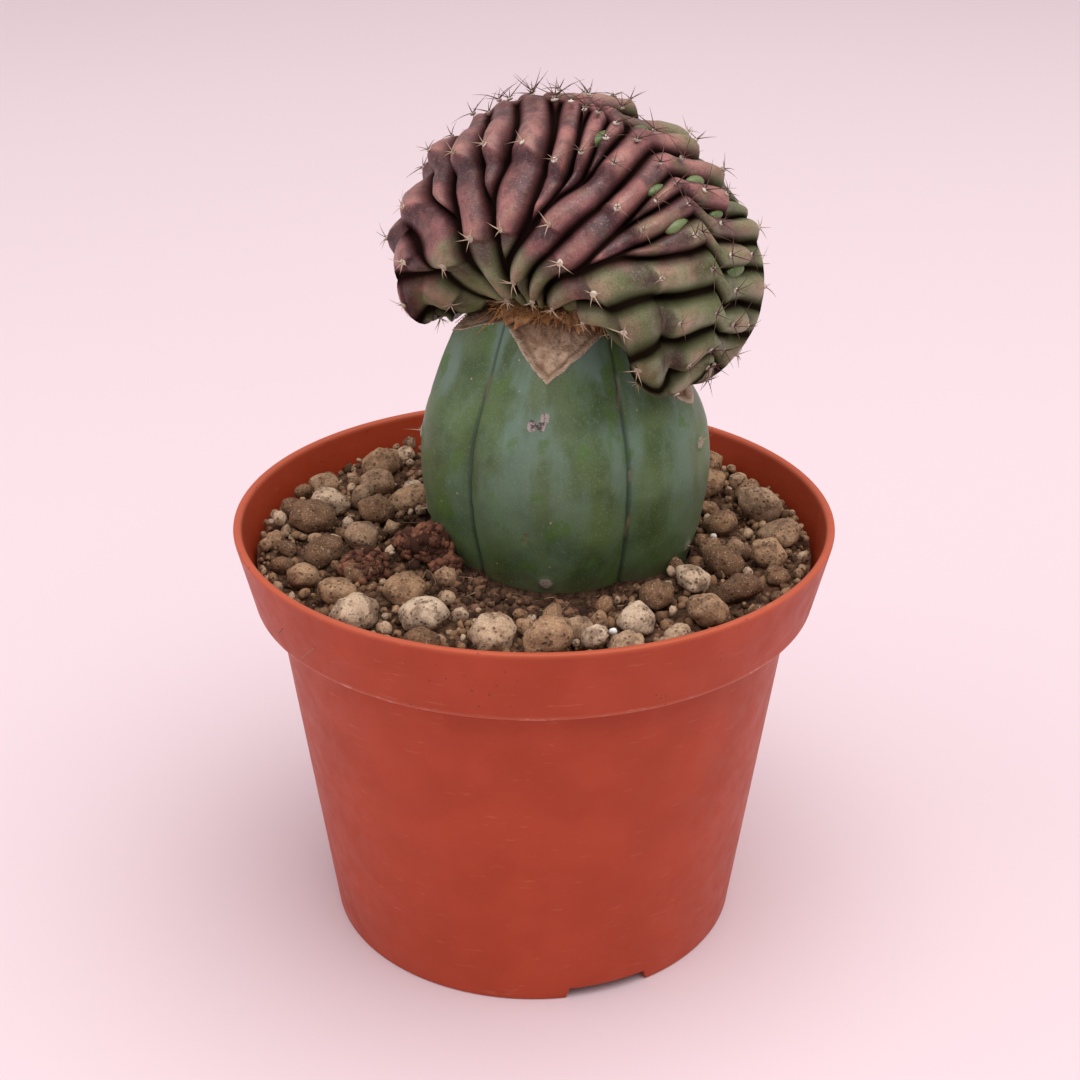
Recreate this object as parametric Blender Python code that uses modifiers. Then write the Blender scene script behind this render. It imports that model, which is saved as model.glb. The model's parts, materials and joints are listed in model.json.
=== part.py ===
# Potted gymnocalycium: a crested gymnocalycium grafted on a five-ribbed stock,
# in a plastic nursery pot filled with soil and topped with pumice grit.
# Metres, +Z up. The origin is under the pot's middle, on the surface it stands on.
# The front of the plant looks towards -Y.

import math
import random

import bmesh
import bpy
import numpy as np
from mathutils import Euler, Matrix, Vector
from mathutils.kdtree import KDTree

MM = 0.001
GAP = 0.3 * MM             # left between pieces that touch

# Pot
POT_HEIGHT = 62.7 * MM
RIM_RADIUS = 42.5 * MM
COLLAR_HEIGHT = 10.9 * MM
COLLAR_FOOT_RADIUS = 39.9 * MM
BODY_TOP_RADIUS = 37.0 * MM
FOOT_RADIUS = 30.1 * MM
WALL = 1.2 * MM
FLOOR_UNDERSIDE = 2.4 * MM
FLOOR_THICKNESS = 1.4 * MM
NOTCH_HEIGHT = 1.7 * MM
NOTCH_WIDTH = 12.5 * MM
NOTCH_ANGLES = (21, 141, 261)          # degrees from the front, to the right
DRAIN_RADIUS = 2.6 * MM
DRAIN_CIRCLE = 16.0 * MM
DRAIN_COUNT = 4
TURNED_STEPS = 44

# Soil
SOIL_LEVEL = 56.4 * MM
MOUND_CENTRE = (-14.5 * MM, -0.5 * MM)
MOUND_HEIGHT = 3.4 * MM
MOUND_RADIUS = 6.5 * MM

# Grit
GRIT_SEED = 5
GRIT_STONES = 100
STONE_SIZES = (3.8 * MM, 8.2 * MM)
BED_THICKNESS = 0.7 * MM
BED_LIFT = 0.45 * MM
STONE_SINK = 0.5 * MM                  # of the lowest point of a stone into the layer
BARE_SOIL_ANGLE = -35                  # degrees from the front, where bare soil is widest
BARE_SOIL_WIDTH = 9.0 * MM
BARE_SOIL_RAGGED = 0.6 * MM            # unevenness of the grit's inner edge

# Stock
STOCK_AXIS = (4.6 * MM, 3.0 * MM)
STOCK_RIB_ANGLES = (-10, 62, 134, 206, 278)
STOCK_SCAR_HEIGHTS = (87.0 * MM, 81.5 * MM, 85.0 * MM, 84.0 * MM, 87.0 * MM)
STOCK_TOP = 93.2 * MM
STOCK_TOP_RADIUS = 8.8 * MM
STOCK_GROOVE = 0.13                    # share of the radius that a groove cuts in
FLAT_SIDES = (77 * MM, 88 * MM)        # heights between which the sides turn from round to flat
FLATNESS = 0.85
STOCK_PROFILE = (                      # height and radius over the ribs, mm
    (31, 7.5), (33, 11), (40, 14.8), (53, 17.6), (58, 18.5), (62, 19.6), (67, 20.5),
    (72, 20.7), (77, 20.1), (82, 18.7), (87, 16.9), (94, 13.6),
)
STOCK_SPINE_HEIGHTS = (62 * MM, 82.5 * MM)

# Dried tissue between stock and crest
TISSUE_HANG = 1.5 * MM                 # how far it hangs over the top's edges, on average
TISSUE_REACH = 13.8 * MM               # the furthest that it comes from the stock's axis
TISSUE_REACH_BLEND = 4.0 * MM
FLAT_REACH = 12.0 * MM                 # past the corners of the stock's flat top
TISSUE_THICKNESS = 1.1 * MM
TISSUE_CLEARANCE = 0.35 * MM

# Crest: the growing line is an arc that stands on edge, and the body hangs from it
# on both sides down to a ring on top of the stock.
FAN_TURN = math.radians(41)            # about Z, bringing the arc's right end forward
FAN_CENTRE = Vector((5.6, 2.6, 99.0)) * MM
FAN_HALF_WIDTH = 25.1 * MM
FAN_HALF_HEIGHT = 22.7 * MM
FAN_BOW = 2.3 * MM                     # how far the arc's top leans to the front
ARC_MIDDLE = math.radians(-4.6)
ARC_HALF = math.radians(118.8)
ARC_EASE_LEFT = 0.55                   # where the ribs begin to turn round the arc's ends
ARC_EASE_RIGHT = 0.8
ARC_END = 1.2                          # where the front ribs meet the back ribs
UNION_CENTRE = Vector((3.0, 3.2, 94.95)) * MM
UNION_RADIUS = 9.6 * MM
UNION_LEFT_DROP = 6.0 * MM             # the union reaches down and out over the stock's left
UNION_LEFT_REACH = 4.6 * MM
LEFT_TURN = math.radians(8)            # round the union, from where it drops to the left
LEFT_TURN_END = math.radians(54)
SHOULDER_FRONT = 20.5 * MM
SHOULDER_BACK = 21.0 * MM
SHOULDER_LEFT = 3.5 * MM
SHOULDER_RIGHT = 11.0 * MM
BELLY = 18.5 * MM
BELLY_END = 8.5 * MM
BELLY_LEFT = 6.0 * MM
END_SOFTNESS = 0.12                    # rounds the change from belly to ends
RISE = math.radians(19.5)              # at which the body comes in to the union, from above
RISE_LEFT = math.radians(8)
RISE_RIGHT = math.radians(-30)         # at the right end it comes in from below
RING_TWIST = 0.23
RING_CROWD = -0.56

# Ribs: place along the growing line, how far down they reach (1 is the union), and
# the place of their first areole below the growing line.
FRONT_RIBS = (
    (-1.12, 1.00, 0.20), (-1.01, 0.50, 0.12), (-0.90, 1.00, 0.28), (-0.79, 0.45, 0.18),
    (-0.67, 0.85, 0.30), (-0.51, 1.00, 0.10), (-0.39, 0.60, 0.22), (-0.275, 1.00, 0.30),
    (-0.18, 0.55, 0.28), (-0.06, 0.80, 0.25), (0.055, 0.16, 0.05), (0.14, 0.58, 0.26),
    (0.20, 0.16, 0.05), (0.255, 0.44, 0.19), (0.32, 0.30, 0.10), (0.395, 1.00, 0.15),
    (0.48, 1.00, 0.24), (0.545, 0.30, 0.12), (0.61, 0.56, 0.21), (0.67, 0.40, 0.06),
    (0.77, 1.00, 0.22), (0.885, 1.00, 0.18), (1.00, 0.60, 0.12), (1.12, 1.00, 0.22),
)
BACK_RIB_COUNT = len(FRONT_RIBS)
BACK_REACHES = (1.0, 0.5, 1.0, 0.65)
BACK_AREOLES = (0.20, 0.12, 0.28, 0.16)
BACK_SEED = 3
RIB_LEAN = 0.08
RIB_FADE = 0.25                        # stretch over which a short rib rises from its groove
RIB_REMNANT = 0.03                     # width kept where a short rib has faded out
AREOLE_STEP = 0.30
GROOVE_DEPTH = 4.2 * MM
GROOVE_SHARE = 0.95                    # of the rib's width, at most
NEAR_RIBS = 4                          # a faded rib counts as wide as the widest so many ribs away
BEND_SHARE = 0.32                      # of the radius that the body bends to, at most
SHARP_BEND = 4.0 * MM                  # radius below which there are no grooves
CROWN_ROUNDNESS = 0.75
TUBERCLE_RELIEF = 1.9 * MM
TUBERCLE_SHARE = 0.6                   # of the grooves' depth beside it, at most
CREST_ROWS = 12
CREST_CLEARANCE = 0.8 * MM             # over the stock, between the grid's points too
GROWING_BAND = 0.015
SOLE_RINGS = (0.85, 0.65)               # of the union ring's size, under the body
ACROSS_RIB = (-1.0, -0.6, 0.0, 0.6)    # columns over one rib, from groove to groove

SPINE_SEED = 11
SPINE_LENGTH = 3.8 * MM
SPINE_RADIUS = 0.27 * MM
SPINE_ROOT = 1.4 * MM
SPINES_PER_AREOLE = 3
SPINE_SPREAD = math.radians(52)
BARE_NEAR_STOCK = 4.5 * MM             # no spines on the crest nearer to the stock than this

COLOURS = {
    "pot": ((0.42, 0.075, 0.035), 0.42),
    "soil": ((0.045, 0.026, 0.017), 0.95),
    "grit": ((0.46, 0.34, 0.24), 0.92),
    "stock": ((0.075, 0.13, 0.085), 0.48),
    "graft_tissue": ((0.26, 0.12, 0.05), 0.85),
    "crest": ((0.21, 0.085, 0.078), 0.52),
}


# Shared tools

def clear_scene():
    for obj in list(bpy.data.objects):
        bpy.data.objects.remove(obj, do_unlink=True)


def new_collection(name):
    collection = bpy.data.collections.new(name)
    bpy.context.scene.collection.children.link(collection)
    return collection


def material_for(name):
    colour, roughness = COLOURS[name]
    material = bpy.data.materials.new(name)
    material.use_nodes = True
    shader = material.node_tree.nodes["Principled BSDF"]
    shader.inputs["Base Color"].default_value = (*colour, 1.0)
    shader.inputs["Roughness"].default_value = roughness
    shader.inputs["Metallic"].default_value = 0.0
    return material


def object_from_bmesh(name, bm, collection, smooth=True):
    bmesh.ops.recalc_face_normals(bm, faces=bm.faces)
    mesh = bpy.data.meshes.new(name)
    bm.to_mesh(mesh)
    bm.free()
    if smooth:
        mesh.shade_smooth()
        mesh.set_sharp_from_angle(angle=math.radians(35))
    obj = bpy.data.objects.new(name, mesh)
    collection.objects.link(obj)
    return obj


def object_from_rings(name, rings, bottom, top, collection, smooth=True):
    """Closed loft: rings of equal count, one above the other, with a point at each end."""
    bm = bmesh.new()
    loops = [[bm.verts.new(point) for point in ring] for ring in rings]
    low = bm.verts.new(bottom)
    high = bm.verts.new(top)
    count = len(loops[0])
    for lower, upper in zip(loops, loops[1:]):
        for i in range(count):
            j = (i + 1) % count
            bm.faces.new((lower[i], lower[j], upper[j]))
            bm.faces.new((lower[i], upper[j], upper[i]))
    for i in range(count):
        j = (i + 1) % count
        bm.faces.new((loops[0][j], loops[0][i], low))
        bm.faces.new((loops[-1][i], loops[-1][j], high))
    return object_from_bmesh(name, bm, collection, smooth)


def mark_as_cutter(obj):
    obj.hide_render = True
    obj.display_type = "WIRE"


def join_with(obj, collection, operation, solver="EXACT"):
    """Joins, cuts or trims the object by everything in a collection, which is then emptied."""
    modifier = obj.modifiers.new(operation.title(), "BOOLEAN")
    modifier.operand_type = "COLLECTION"
    modifier.collection = collection
    modifier.operation = operation
    modifier.solver = solver
    bpy.context.view_layer.update()
    depsgraph = bpy.context.evaluated_depsgraph_get()
    mesh = bpy.data.meshes.new_from_object(obj.evaluated_get(depsgraph))
    mesh.name = obj.name
    obj.modifiers.clear()
    obj.data = mesh
    for used in list(collection.objects):
        bpy.data.objects.remove(used, do_unlink=True)
    bpy.data.collections.remove(collection)


def smoothstep(x):
    x = np.clip(x, 0.0, 1.0)
    return x * x * (3 - 2 * x)


# Pot

def pot_inner_radius(height):
    """Radius of the pot's inner wall at a height: the wall steps out behind the collar."""
    collar_foot = POT_HEIGHT - COLLAR_HEIGHT
    if height > collar_foot + 1.5 * WALL:
        share = (height - collar_foot) / COLLAR_HEIGHT
        return COLLAR_FOOT_RADIUS - WALL + share * (RIM_RADIUS - COLLAR_FOOT_RADIUS)
    return FOOT_RADIUS - WALL + height / collar_foot * (BODY_TOP_RADIUS - FOOT_RADIUS)


def make_pot(parts, cutters):
    """Turned shell with a stepped-out collar, a raised floor, drain holes and a notched foot."""
    collar_foot = POT_HEIGHT - COLLAR_HEIGHT
    floor_top = FLOOR_UNDERSIDE + FLOOR_THICKNESS
    lip = 0.5 * MM
    profile = [
        (0.0, floor_top),
        (pot_inner_radius(floor_top) - 1.0 * MM, floor_top),
        (pot_inner_radius(floor_top + 1.0 * MM), floor_top + 1.0 * MM),
        (pot_inner_radius(collar_foot + WALL), collar_foot + WALL),
        (pot_inner_radius(collar_foot + 1.6 * WALL), collar_foot + 1.6 * WALL),
        (RIM_RADIUS - WALL, POT_HEIGHT - lip),
        (RIM_RADIUS - WALL + lip, POT_HEIGHT),
        (RIM_RADIUS - lip, POT_HEIGHT),
        (RIM_RADIUS, POT_HEIGHT - lip),
        (COLLAR_FOOT_RADIUS, collar_foot + 0.4 * MM),
        (COLLAR_FOOT_RADIUS - 0.5 * MM, collar_foot),
        (BODY_TOP_RADIUS, collar_foot - 0.2 * MM),
        (FOOT_RADIUS, 0.0),
        (FOOT_RADIUS - WALL, 0.0),
        (FOOT_RADIUS - WALL, FLOOR_UNDERSIDE),
        (0.0, FLOOR_UNDERSIDE),
    ]
    mesh = bpy.data.meshes.new("pot")
    edges = [(i, i + 1) for i in range(len(profile) - 1)]
    mesh.from_pydata([(radius, 0.0, height) for radius, height in profile], edges, [])
    pot = bpy.data.objects.new("pot", mesh)
    parts.objects.link(pot)
    screw = pot.modifiers.new("Turn", "SCREW")
    screw.steps = TURNED_STEPS
    screw.render_steps = TURNED_STEPS
    screw.use_merge_vertices = True
    screw.merge_threshold = 0.00005
    screw.use_smooth_shade = True

    openings = bpy.data.collections.new("pot_openings")
    cutters.children.link(openings)
    for degrees in NOTCH_ANGLES:
        angle = math.radians(degrees)
        bm = bmesh.new()
        bmesh.ops.create_cube(bm, size=1.0)
        bmesh.ops.scale(bm, vec=(NOTCH_WIDTH, 8 * MM, 2 * NOTCH_HEIGHT), verts=bm.verts)
        notch = object_from_bmesh("notch", bm, openings, smooth=False)
        notch.rotation_euler = (0.0, 0.0, angle)
        reach = FOOT_RADIUS - WALL / 2
        notch.location = (reach * math.sin(angle), -reach * math.cos(angle), 0.0)
        mark_as_cutter(notch)
    for k in range(DRAIN_COUNT):
        angle = 2 * math.pi * (k + 0.5) / DRAIN_COUNT
        bm = bmesh.new()
        bmesh.ops.create_cone(
            bm, cap_ends=True, segments=10, radius1=DRAIN_RADIUS, radius2=DRAIN_RADIUS,
            depth=4 * FLOOR_THICKNESS,
        )
        drain = object_from_bmesh("drain", bm, openings, smooth=False)
        drain.location = (
            DRAIN_CIRCLE * math.sin(angle),
            -DRAIN_CIRCLE * math.cos(angle),
            FLOOR_UNDERSIDE + FLOOR_THICKNESS / 2,
        )
        mark_as_cutter(drain)
    join_with(pot, openings, "DIFFERENCE")
    return pot


# Stock

def stock_ridge_radius(height):
    heights = np.array([row[0] for row in STOCK_PROFILE]) * MM
    radii = np.array([row[1] for row in STOCK_PROFILE]) * MM
    return np.interp(height, heights, radii)


def stock_section(angle):
    """Share of the ridge radius at an angle from the front: five round ribs, creased grooves."""
    turn = 2.5 * (angle - math.radians(STOCK_RIB_ANGLES[0]))
    return 1.0 - STOCK_GROOVE * (1.0 - np.abs(np.cos(turn)) ** 0.7)


def flattened_section(angle, height):
    """The section near the top, where the sides between the ribs' ridges turn flat."""
    corner = math.radians(36)
    turn = np.mod(angle - math.radians(STOCK_RIB_ANGLES[0]), 2 * corner) - corner
    five_sided = math.cos(corner) / np.cos(turn)
    share = FLATNESS * smoothstep((height - FLAT_SIDES[0]) / (FLAT_SIDES[1] - FLAT_SIDES[0]))
    return stock_section(angle) * (1 - share) + five_sided * share


def stock_top_height(x, y):
    """Height of the stock's upper surface at a place seen from above: shoulder, scars, top."""
    dx = np.asarray(x) - STOCK_AXIS[0]
    dy = np.asarray(y) - STOCK_AXIS[1]
    radius = np.hypot(dx, dy)
    angle = np.arctan2(dx, -dy)
    heights = np.linspace(STOCK_TOP + 1 * MM, 72 * MM, 60)
    height = np.interp(radius / stock_section(angle), stock_ridge_radius(heights), heights)
    for degrees, apex in zip(STOCK_RIB_ANGLES, STOCK_SCAR_HEIGHTS):
        along = radius * np.cos(angle - math.radians(degrees))
        slope = (STOCK_TOP - apex) / (stock_ridge_radius(apex) - STOCK_TOP_RADIUS)
        height = np.minimum(height, STOCK_TOP - slope * (along - STOCK_TOP_RADIUS))
    return np.minimum(height, STOCK_TOP)


def stock_rings(heights, margin):
    """Rings of the ribbed column, each pushed out by a margin."""
    count = 8 * len(STOCK_RIB_ANGLES)
    first_groove = math.radians(STOCK_RIB_ANGLES[0] + 36)
    angles = first_groove + 2 * math.pi * np.arange(count) / count
    rings = []
    for height in heights:
        radii = stock_ridge_radius(height) * flattened_section(angles, height) + margin
        x = STOCK_AXIS[0] + radii * np.sin(angles)
        y = STOCK_AXIS[1] - radii * np.cos(angles)
        rings.append([(x[i], y[i], height) for i in range(count)])
    return rings


def stock_spot(degrees, height):
    """A place on a rib's ridge, and the direction out of it."""
    angle = math.radians(degrees)
    radius = float(stock_ridge_radius(height))
    out = Vector((math.sin(angle), -math.cos(angle), 0.0))
    return Vector((STOCK_AXIS[0], STOCK_AXIS[1], height)) + out * radius, out


def make_stock(parts, cutters, rng):
    """Five-ribbed column, its rib tops cut off on the slant, with stub spines on its ribs."""
    heights = [row[0] * MM for row in STOCK_PROFILE[:-1]] + [STOCK_TOP]
    base = (STOCK_AXIS[0], STOCK_AXIS[1], heights[0] - 1.0 * MM)
    top = (STOCK_AXIS[0], STOCK_AXIS[1], STOCK_TOP)
    stock = object_from_rings("stock", stock_rings(heights, 0.0), base, top, parts)

    slants = bpy.data.collections.new("scar_cuts")
    cutters.children.link(slants)
    block = 40 * MM
    for degrees, apex in zip(STOCK_RIB_ANGLES, STOCK_SCAR_HEIGHTS):
        angle = math.radians(degrees)
        run = float(stock_ridge_radius(apex)) - STOCK_TOP_RADIUS
        tilt = math.atan2(STOCK_TOP - apex, run)
        bm = bmesh.new()
        bmesh.ops.create_cube(bm, size=block)
        cut = object_from_bmesh("scar_cut", bm, slants, smooth=False)
        out = Vector((math.sin(angle), -math.cos(angle), 0.0))
        normal = out * math.sin(tilt) + Vector((0.0, 0.0, math.cos(tilt)))
        edge = Vector((STOCK_AXIS[0], STOCK_AXIS[1], STOCK_TOP)) + out * STOCK_TOP_RADIUS
        cut.rotation_mode = "QUATERNION"
        cut.rotation_quaternion = normal.to_track_quat("Z", "Y")
        cut.location = edge + normal * (block / 2)
        mark_as_cutter(cut)
    join_with(stock, slants, "DIFFERENCE")

    stubs = bpy.data.collections.new("stock_spines")
    cutters.children.link(stubs)
    for degrees in STOCK_RIB_ANGLES:
        for height in STOCK_SPINE_HEIGHTS:
            if height > STOCK_SCAR_HEIGHTS[STOCK_RIB_ANGLES.index(degrees)] - 2 * MM:
                height = height - 7 * MM
            spot, out = stock_spot(degrees, height)
            for lean in (-35, 30):
                direction = Matrix.Rotation(math.radians(lean), 3, "Z") @ out
                direction = (direction + Vector((0.0, 0.0, rng.uniform(-0.3, 0.5)))).normalized()
                add_needle(stubs, spot, direction, 1.8 * MM, 0.3 * MM, 1.0 * MM)
    join_with(stock, stubs, "UNION", "MANIFOLD")
    return stock


def add_needle(collection, root, direction, length, radius, sunk):
    """One three-sided needle, its root sunk into what it grows from."""
    bm = bmesh.new()
    bmesh.ops.create_cone(
        bm, cap_ends=True, segments=3, radius1=radius, radius2=0.12 * radius, depth=length + sunk,
    )
    turn = direction.to_track_quat("Z", "Y").to_matrix().to_4x4()
    place = Matrix.Translation(root + direction * ((length - sunk) / 2))
    bmesh.ops.transform(bm, matrix=place @ turn, verts=bm.verts)
    return object_from_bmesh("needle", bm, collection, smooth=False)


# Soil

def soil_height(x, y):
    """Height of the soil: nearly level, gently uneven, with a mound against the stock's left."""
    x = np.asarray(x)
    y = np.asarray(y)
    swell = 0.5 * MM * np.sin(x / (7 * MM) + 0.6) * np.cos(y / (6 * MM) - 0.4)
    away = np.hypot(x - MOUND_CENTRE[0], y - MOUND_CENTRE[1]) / MOUND_RADIUS
    return SOIL_LEVEL + swell + MOUND_HEIGHT * np.exp(-away ** 2)


def make_soil(parts, cutters):
    """Fills the pot to just below the rim, with a plain hole where the stock stands."""
    angles = 2 * math.pi * np.arange(TURNED_STEPS) / TURNED_STEPS
    floor = FLOOR_UNDERSIDE + FLOOR_THICKNESS + GAP
    step = POT_HEIGHT - COLLAR_HEIGHT
    wall = (
        (floor, pot_inner_radius(floor) - 1.4 * MM),
        (floor + 1.5 * MM, pot_inner_radius(floor + 1.5 * MM) - GAP),
        (step + WALL, pot_inner_radius(step + WALL) - GAP),
        (step + 1.6 * WALL + 2 * GAP, pot_inner_radius(step + 1.6 * WALL) - 2 * GAP),
    )
    rings = [
        [(radius * math.cos(a), radius * math.sin(a), height) for a in angles]
        for height, radius in wall
    ]
    edge = pot_inner_radius(SOIL_LEVEL) - 2 * GAP
    for share in (1.0, 0.82, 0.65, 0.5, 0.25):
        x = share * edge * np.cos(angles)
        y = share * edge * np.sin(angles)
        z = soil_height(x, y)
        rings.append([(x[i], y[i], z[i]) for i in range(len(angles))])
    top = (0.0, 0.0, float(soil_height(0.0, 0.0)))
    soil = object_from_rings("soil", rings, (0.0, 0.0, floor), top, parts)

    hole = bpy.data.collections.new("stock_hole")
    cutters.children.link(hole)
    heights = [row[0] * MM for row in STOCK_PROFILE if row[0] < 70]
    base = (STOCK_AXIS[0], STOCK_AXIS[1], heights[0] - 1.0 * MM - 2 * GAP)
    top = (STOCK_AXIS[0], STOCK_AXIS[1], heights[-1])
    rings = stock_rings(heights, 1.5 * GAP)
    rings[0] = [(x, y, z - GAP) for x, y, z in rings[0]]
    mark_as_cutter(object_from_rings("hole", rings, base, top, hole))
    join_with(soil, hole, "DIFFERENCE")
    return soil


# Grit

def bare_soil_width(angle):
    """Width of the bare soil round the stock, widest at the front left."""
    turn = angle - math.radians(BARE_SOIL_ANGLE)
    return 1.3 * MM + BARE_SOIL_WIDTH * np.clip(np.cos(turn), 0, None) ** 1.5


def grit_reach(angle):
    """Inner and outer radius of the grit from the stock's axis, at an angle from the front."""
    inner = stock_ridge_radius(SOIL_LEVEL + 6 * MM) * stock_section(angle) + bare_soil_width(angle)
    inner = inner + BARE_SOIL_RAGGED * (np.sin(5 * angle + 1) + 0.6 * np.sin(11 * angle))
    wall = pot_inner_radius(SOIL_LEVEL) - 1.5 * GAP
    dx = np.sin(angle)
    dy = -np.cos(angle)
    along = STOCK_AXIS[0] * dx + STOCK_AXIS[1] * dy
    offset = STOCK_AXIS[0] ** 2 + STOCK_AXIS[1] ** 2
    outer = -along + np.sqrt(along ** 2 - offset + wall ** 2)
    return inner, outer


def make_bed(collection):
    """A closed ring-shaped sheet over the soil, from the bare patch to the pot's wall."""
    count = 45
    angles = 2 * math.pi * np.arange(count) / count
    inner, outer = grit_reach(angles)
    bm = bmesh.new()
    shares = (0.0, 0.5, 1.0)
    layers = []
    for rise in (BED_LIFT, BED_LIFT + BED_THICKNESS):
        rows = []
        for share in shares:
            radius = inner + share * (outer - inner)
            x = STOCK_AXIS[0] + radius * np.sin(angles)
            y = STOCK_AXIS[1] - radius * np.cos(angles)
            z = soil_height(x, y) + rise
            rows.append([bm.verts.new((x[i], y[i], z[i])) for i in range(count)])
        layers.append(rows)
    low, high = layers
    path = low + high[::-1]
    for row, following in zip(path, path[1:] + path[:1]):
        for i in range(count):
            j = (i + 1) % count
            bm.faces.new((row[i], row[j], following[j]))
            bm.faces.new((row[i], following[j], following[i]))
    return object_from_bmesh("grit", bm, collection, smooth=False)


def stone_places(rng):
    """Seeded places and sizes of the stones: large ones first, none too near another."""
    low, high = STONE_SIZES
    sizes = sorted((low + (high - low) * rng.random() ** 1.6 for _ in range(GRIT_STONES)), reverse=True)
    placed = []
    for size in sizes:
        for _ in range(60):
            angle = rng.uniform(-math.pi, math.pi)
            inner, outer = grit_reach(np.array(angle))
            inner = float(inner) + 0.5 * size
            outer = float(outer) - 0.56 * size
            if outer <= inner:
                continue
            radius = math.sqrt(rng.uniform(inner ** 2, outer ** 2))
            x = STOCK_AXIS[0] + radius * math.sin(angle)
            y = STOCK_AXIS[1] - radius * math.cos(angle)
            clear = all(
                math.hypot(x - px, y - py) > 0.47 * (size + other) for px, py, other in placed
            )
            if clear:
                placed.append((x, y, size))
                break
    return placed


def make_grit(parts, cutters):
    """Angular pumice stones standing in a thin layer of the same grit on the soil."""
    rng = random.Random(GRIT_SEED)
    grit = make_bed(parts)
    stones = bpy.data.collections.new("stones")
    cutters.children.link(stones)
    for x, y, size in stone_places(rng):
        bm = bmesh.new()
        bmesh.ops.create_icosphere(bm, subdivisions=1, radius=size / 2)
        for vert in bm.verts:
            vert.co *= rng.uniform(0.86, 1.08)
        bmesh.ops.scale(bm, vec=(1.08, 0.95, rng.uniform(0.62, 0.85)), verts=bm.verts)
        turn = Euler((rng.uniform(-0.4, 0.4), rng.uniform(-0.4, 0.4), rng.uniform(0, 6.3)))
        bmesh.ops.rotate(bm, matrix=turn.to_matrix(), verts=bm.verts)
        lowest = min(vert.co.z for vert in bm.verts)
        layer_top = float(soil_height(x, y)) + BED_LIFT + BED_THICKNESS
        bmesh.ops.translate(bm, vec=(x, y, layer_top - STONE_SINK - lowest), verts=bm.verts)
        object_from_bmesh("stone", bm, stones, smooth=False)
    join_with(grit, stones, "UNION", "MANIFOLD")
    return grit


# Dried tissue at the graft

def top_edge(angle):
    """Radius of the stock's flat top, which the slanted rib tops leave five-sided."""
    ribs = np.radians(STOCK_RIB_ANGLES)
    nearest = np.cos(angle[:, None] - ribs).max(axis=1)
    return STOCK_TOP_RADIUS / nearest


def make_tissue(parts):
    """Thin ragged skin of dried tissue, draped over the cut top of the stock."""
    count = 8 * len(STOCK_RIB_ANGLES)
    first_groove = math.radians(STOCK_RIB_ANGLES[0] + 36)
    angles = first_groove + 2 * math.pi * np.arange(count) / count
    edge = top_edge(angles)
    ragged = 1 + 0.5 * np.sin(7 * angles + 0.5) + 0.35 * np.sin(17 * angles)
    reach = edge + TISSUE_HANG * ragged
    rings = []
    for radii, rise in (
        (edge, 0.0), (reach, 0.0), (reach, 0.6 * TISSUE_THICKNESS), (edge, TISSUE_THICKNESS),
    ):
        x = STOCK_AXIS[0] + radii * np.sin(angles)
        y = STOCK_AXIS[1] - radii * np.cos(angles)
        z = stock_top_height(x, y) + TISSUE_CLEARANCE + rise
        rings.append([(x[i], y[i], z[i]) for i in range(count)])
    centre = (STOCK_AXIS[0], STOCK_AXIS[1], STOCK_TOP + TISSUE_CLEARANCE)
    above = (centre[0], centre[1], centre[2] + TISSUE_THICKNESS)
    return object_from_rings("graft_tissue", rings, centre, above, parts)


# Crest

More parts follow.
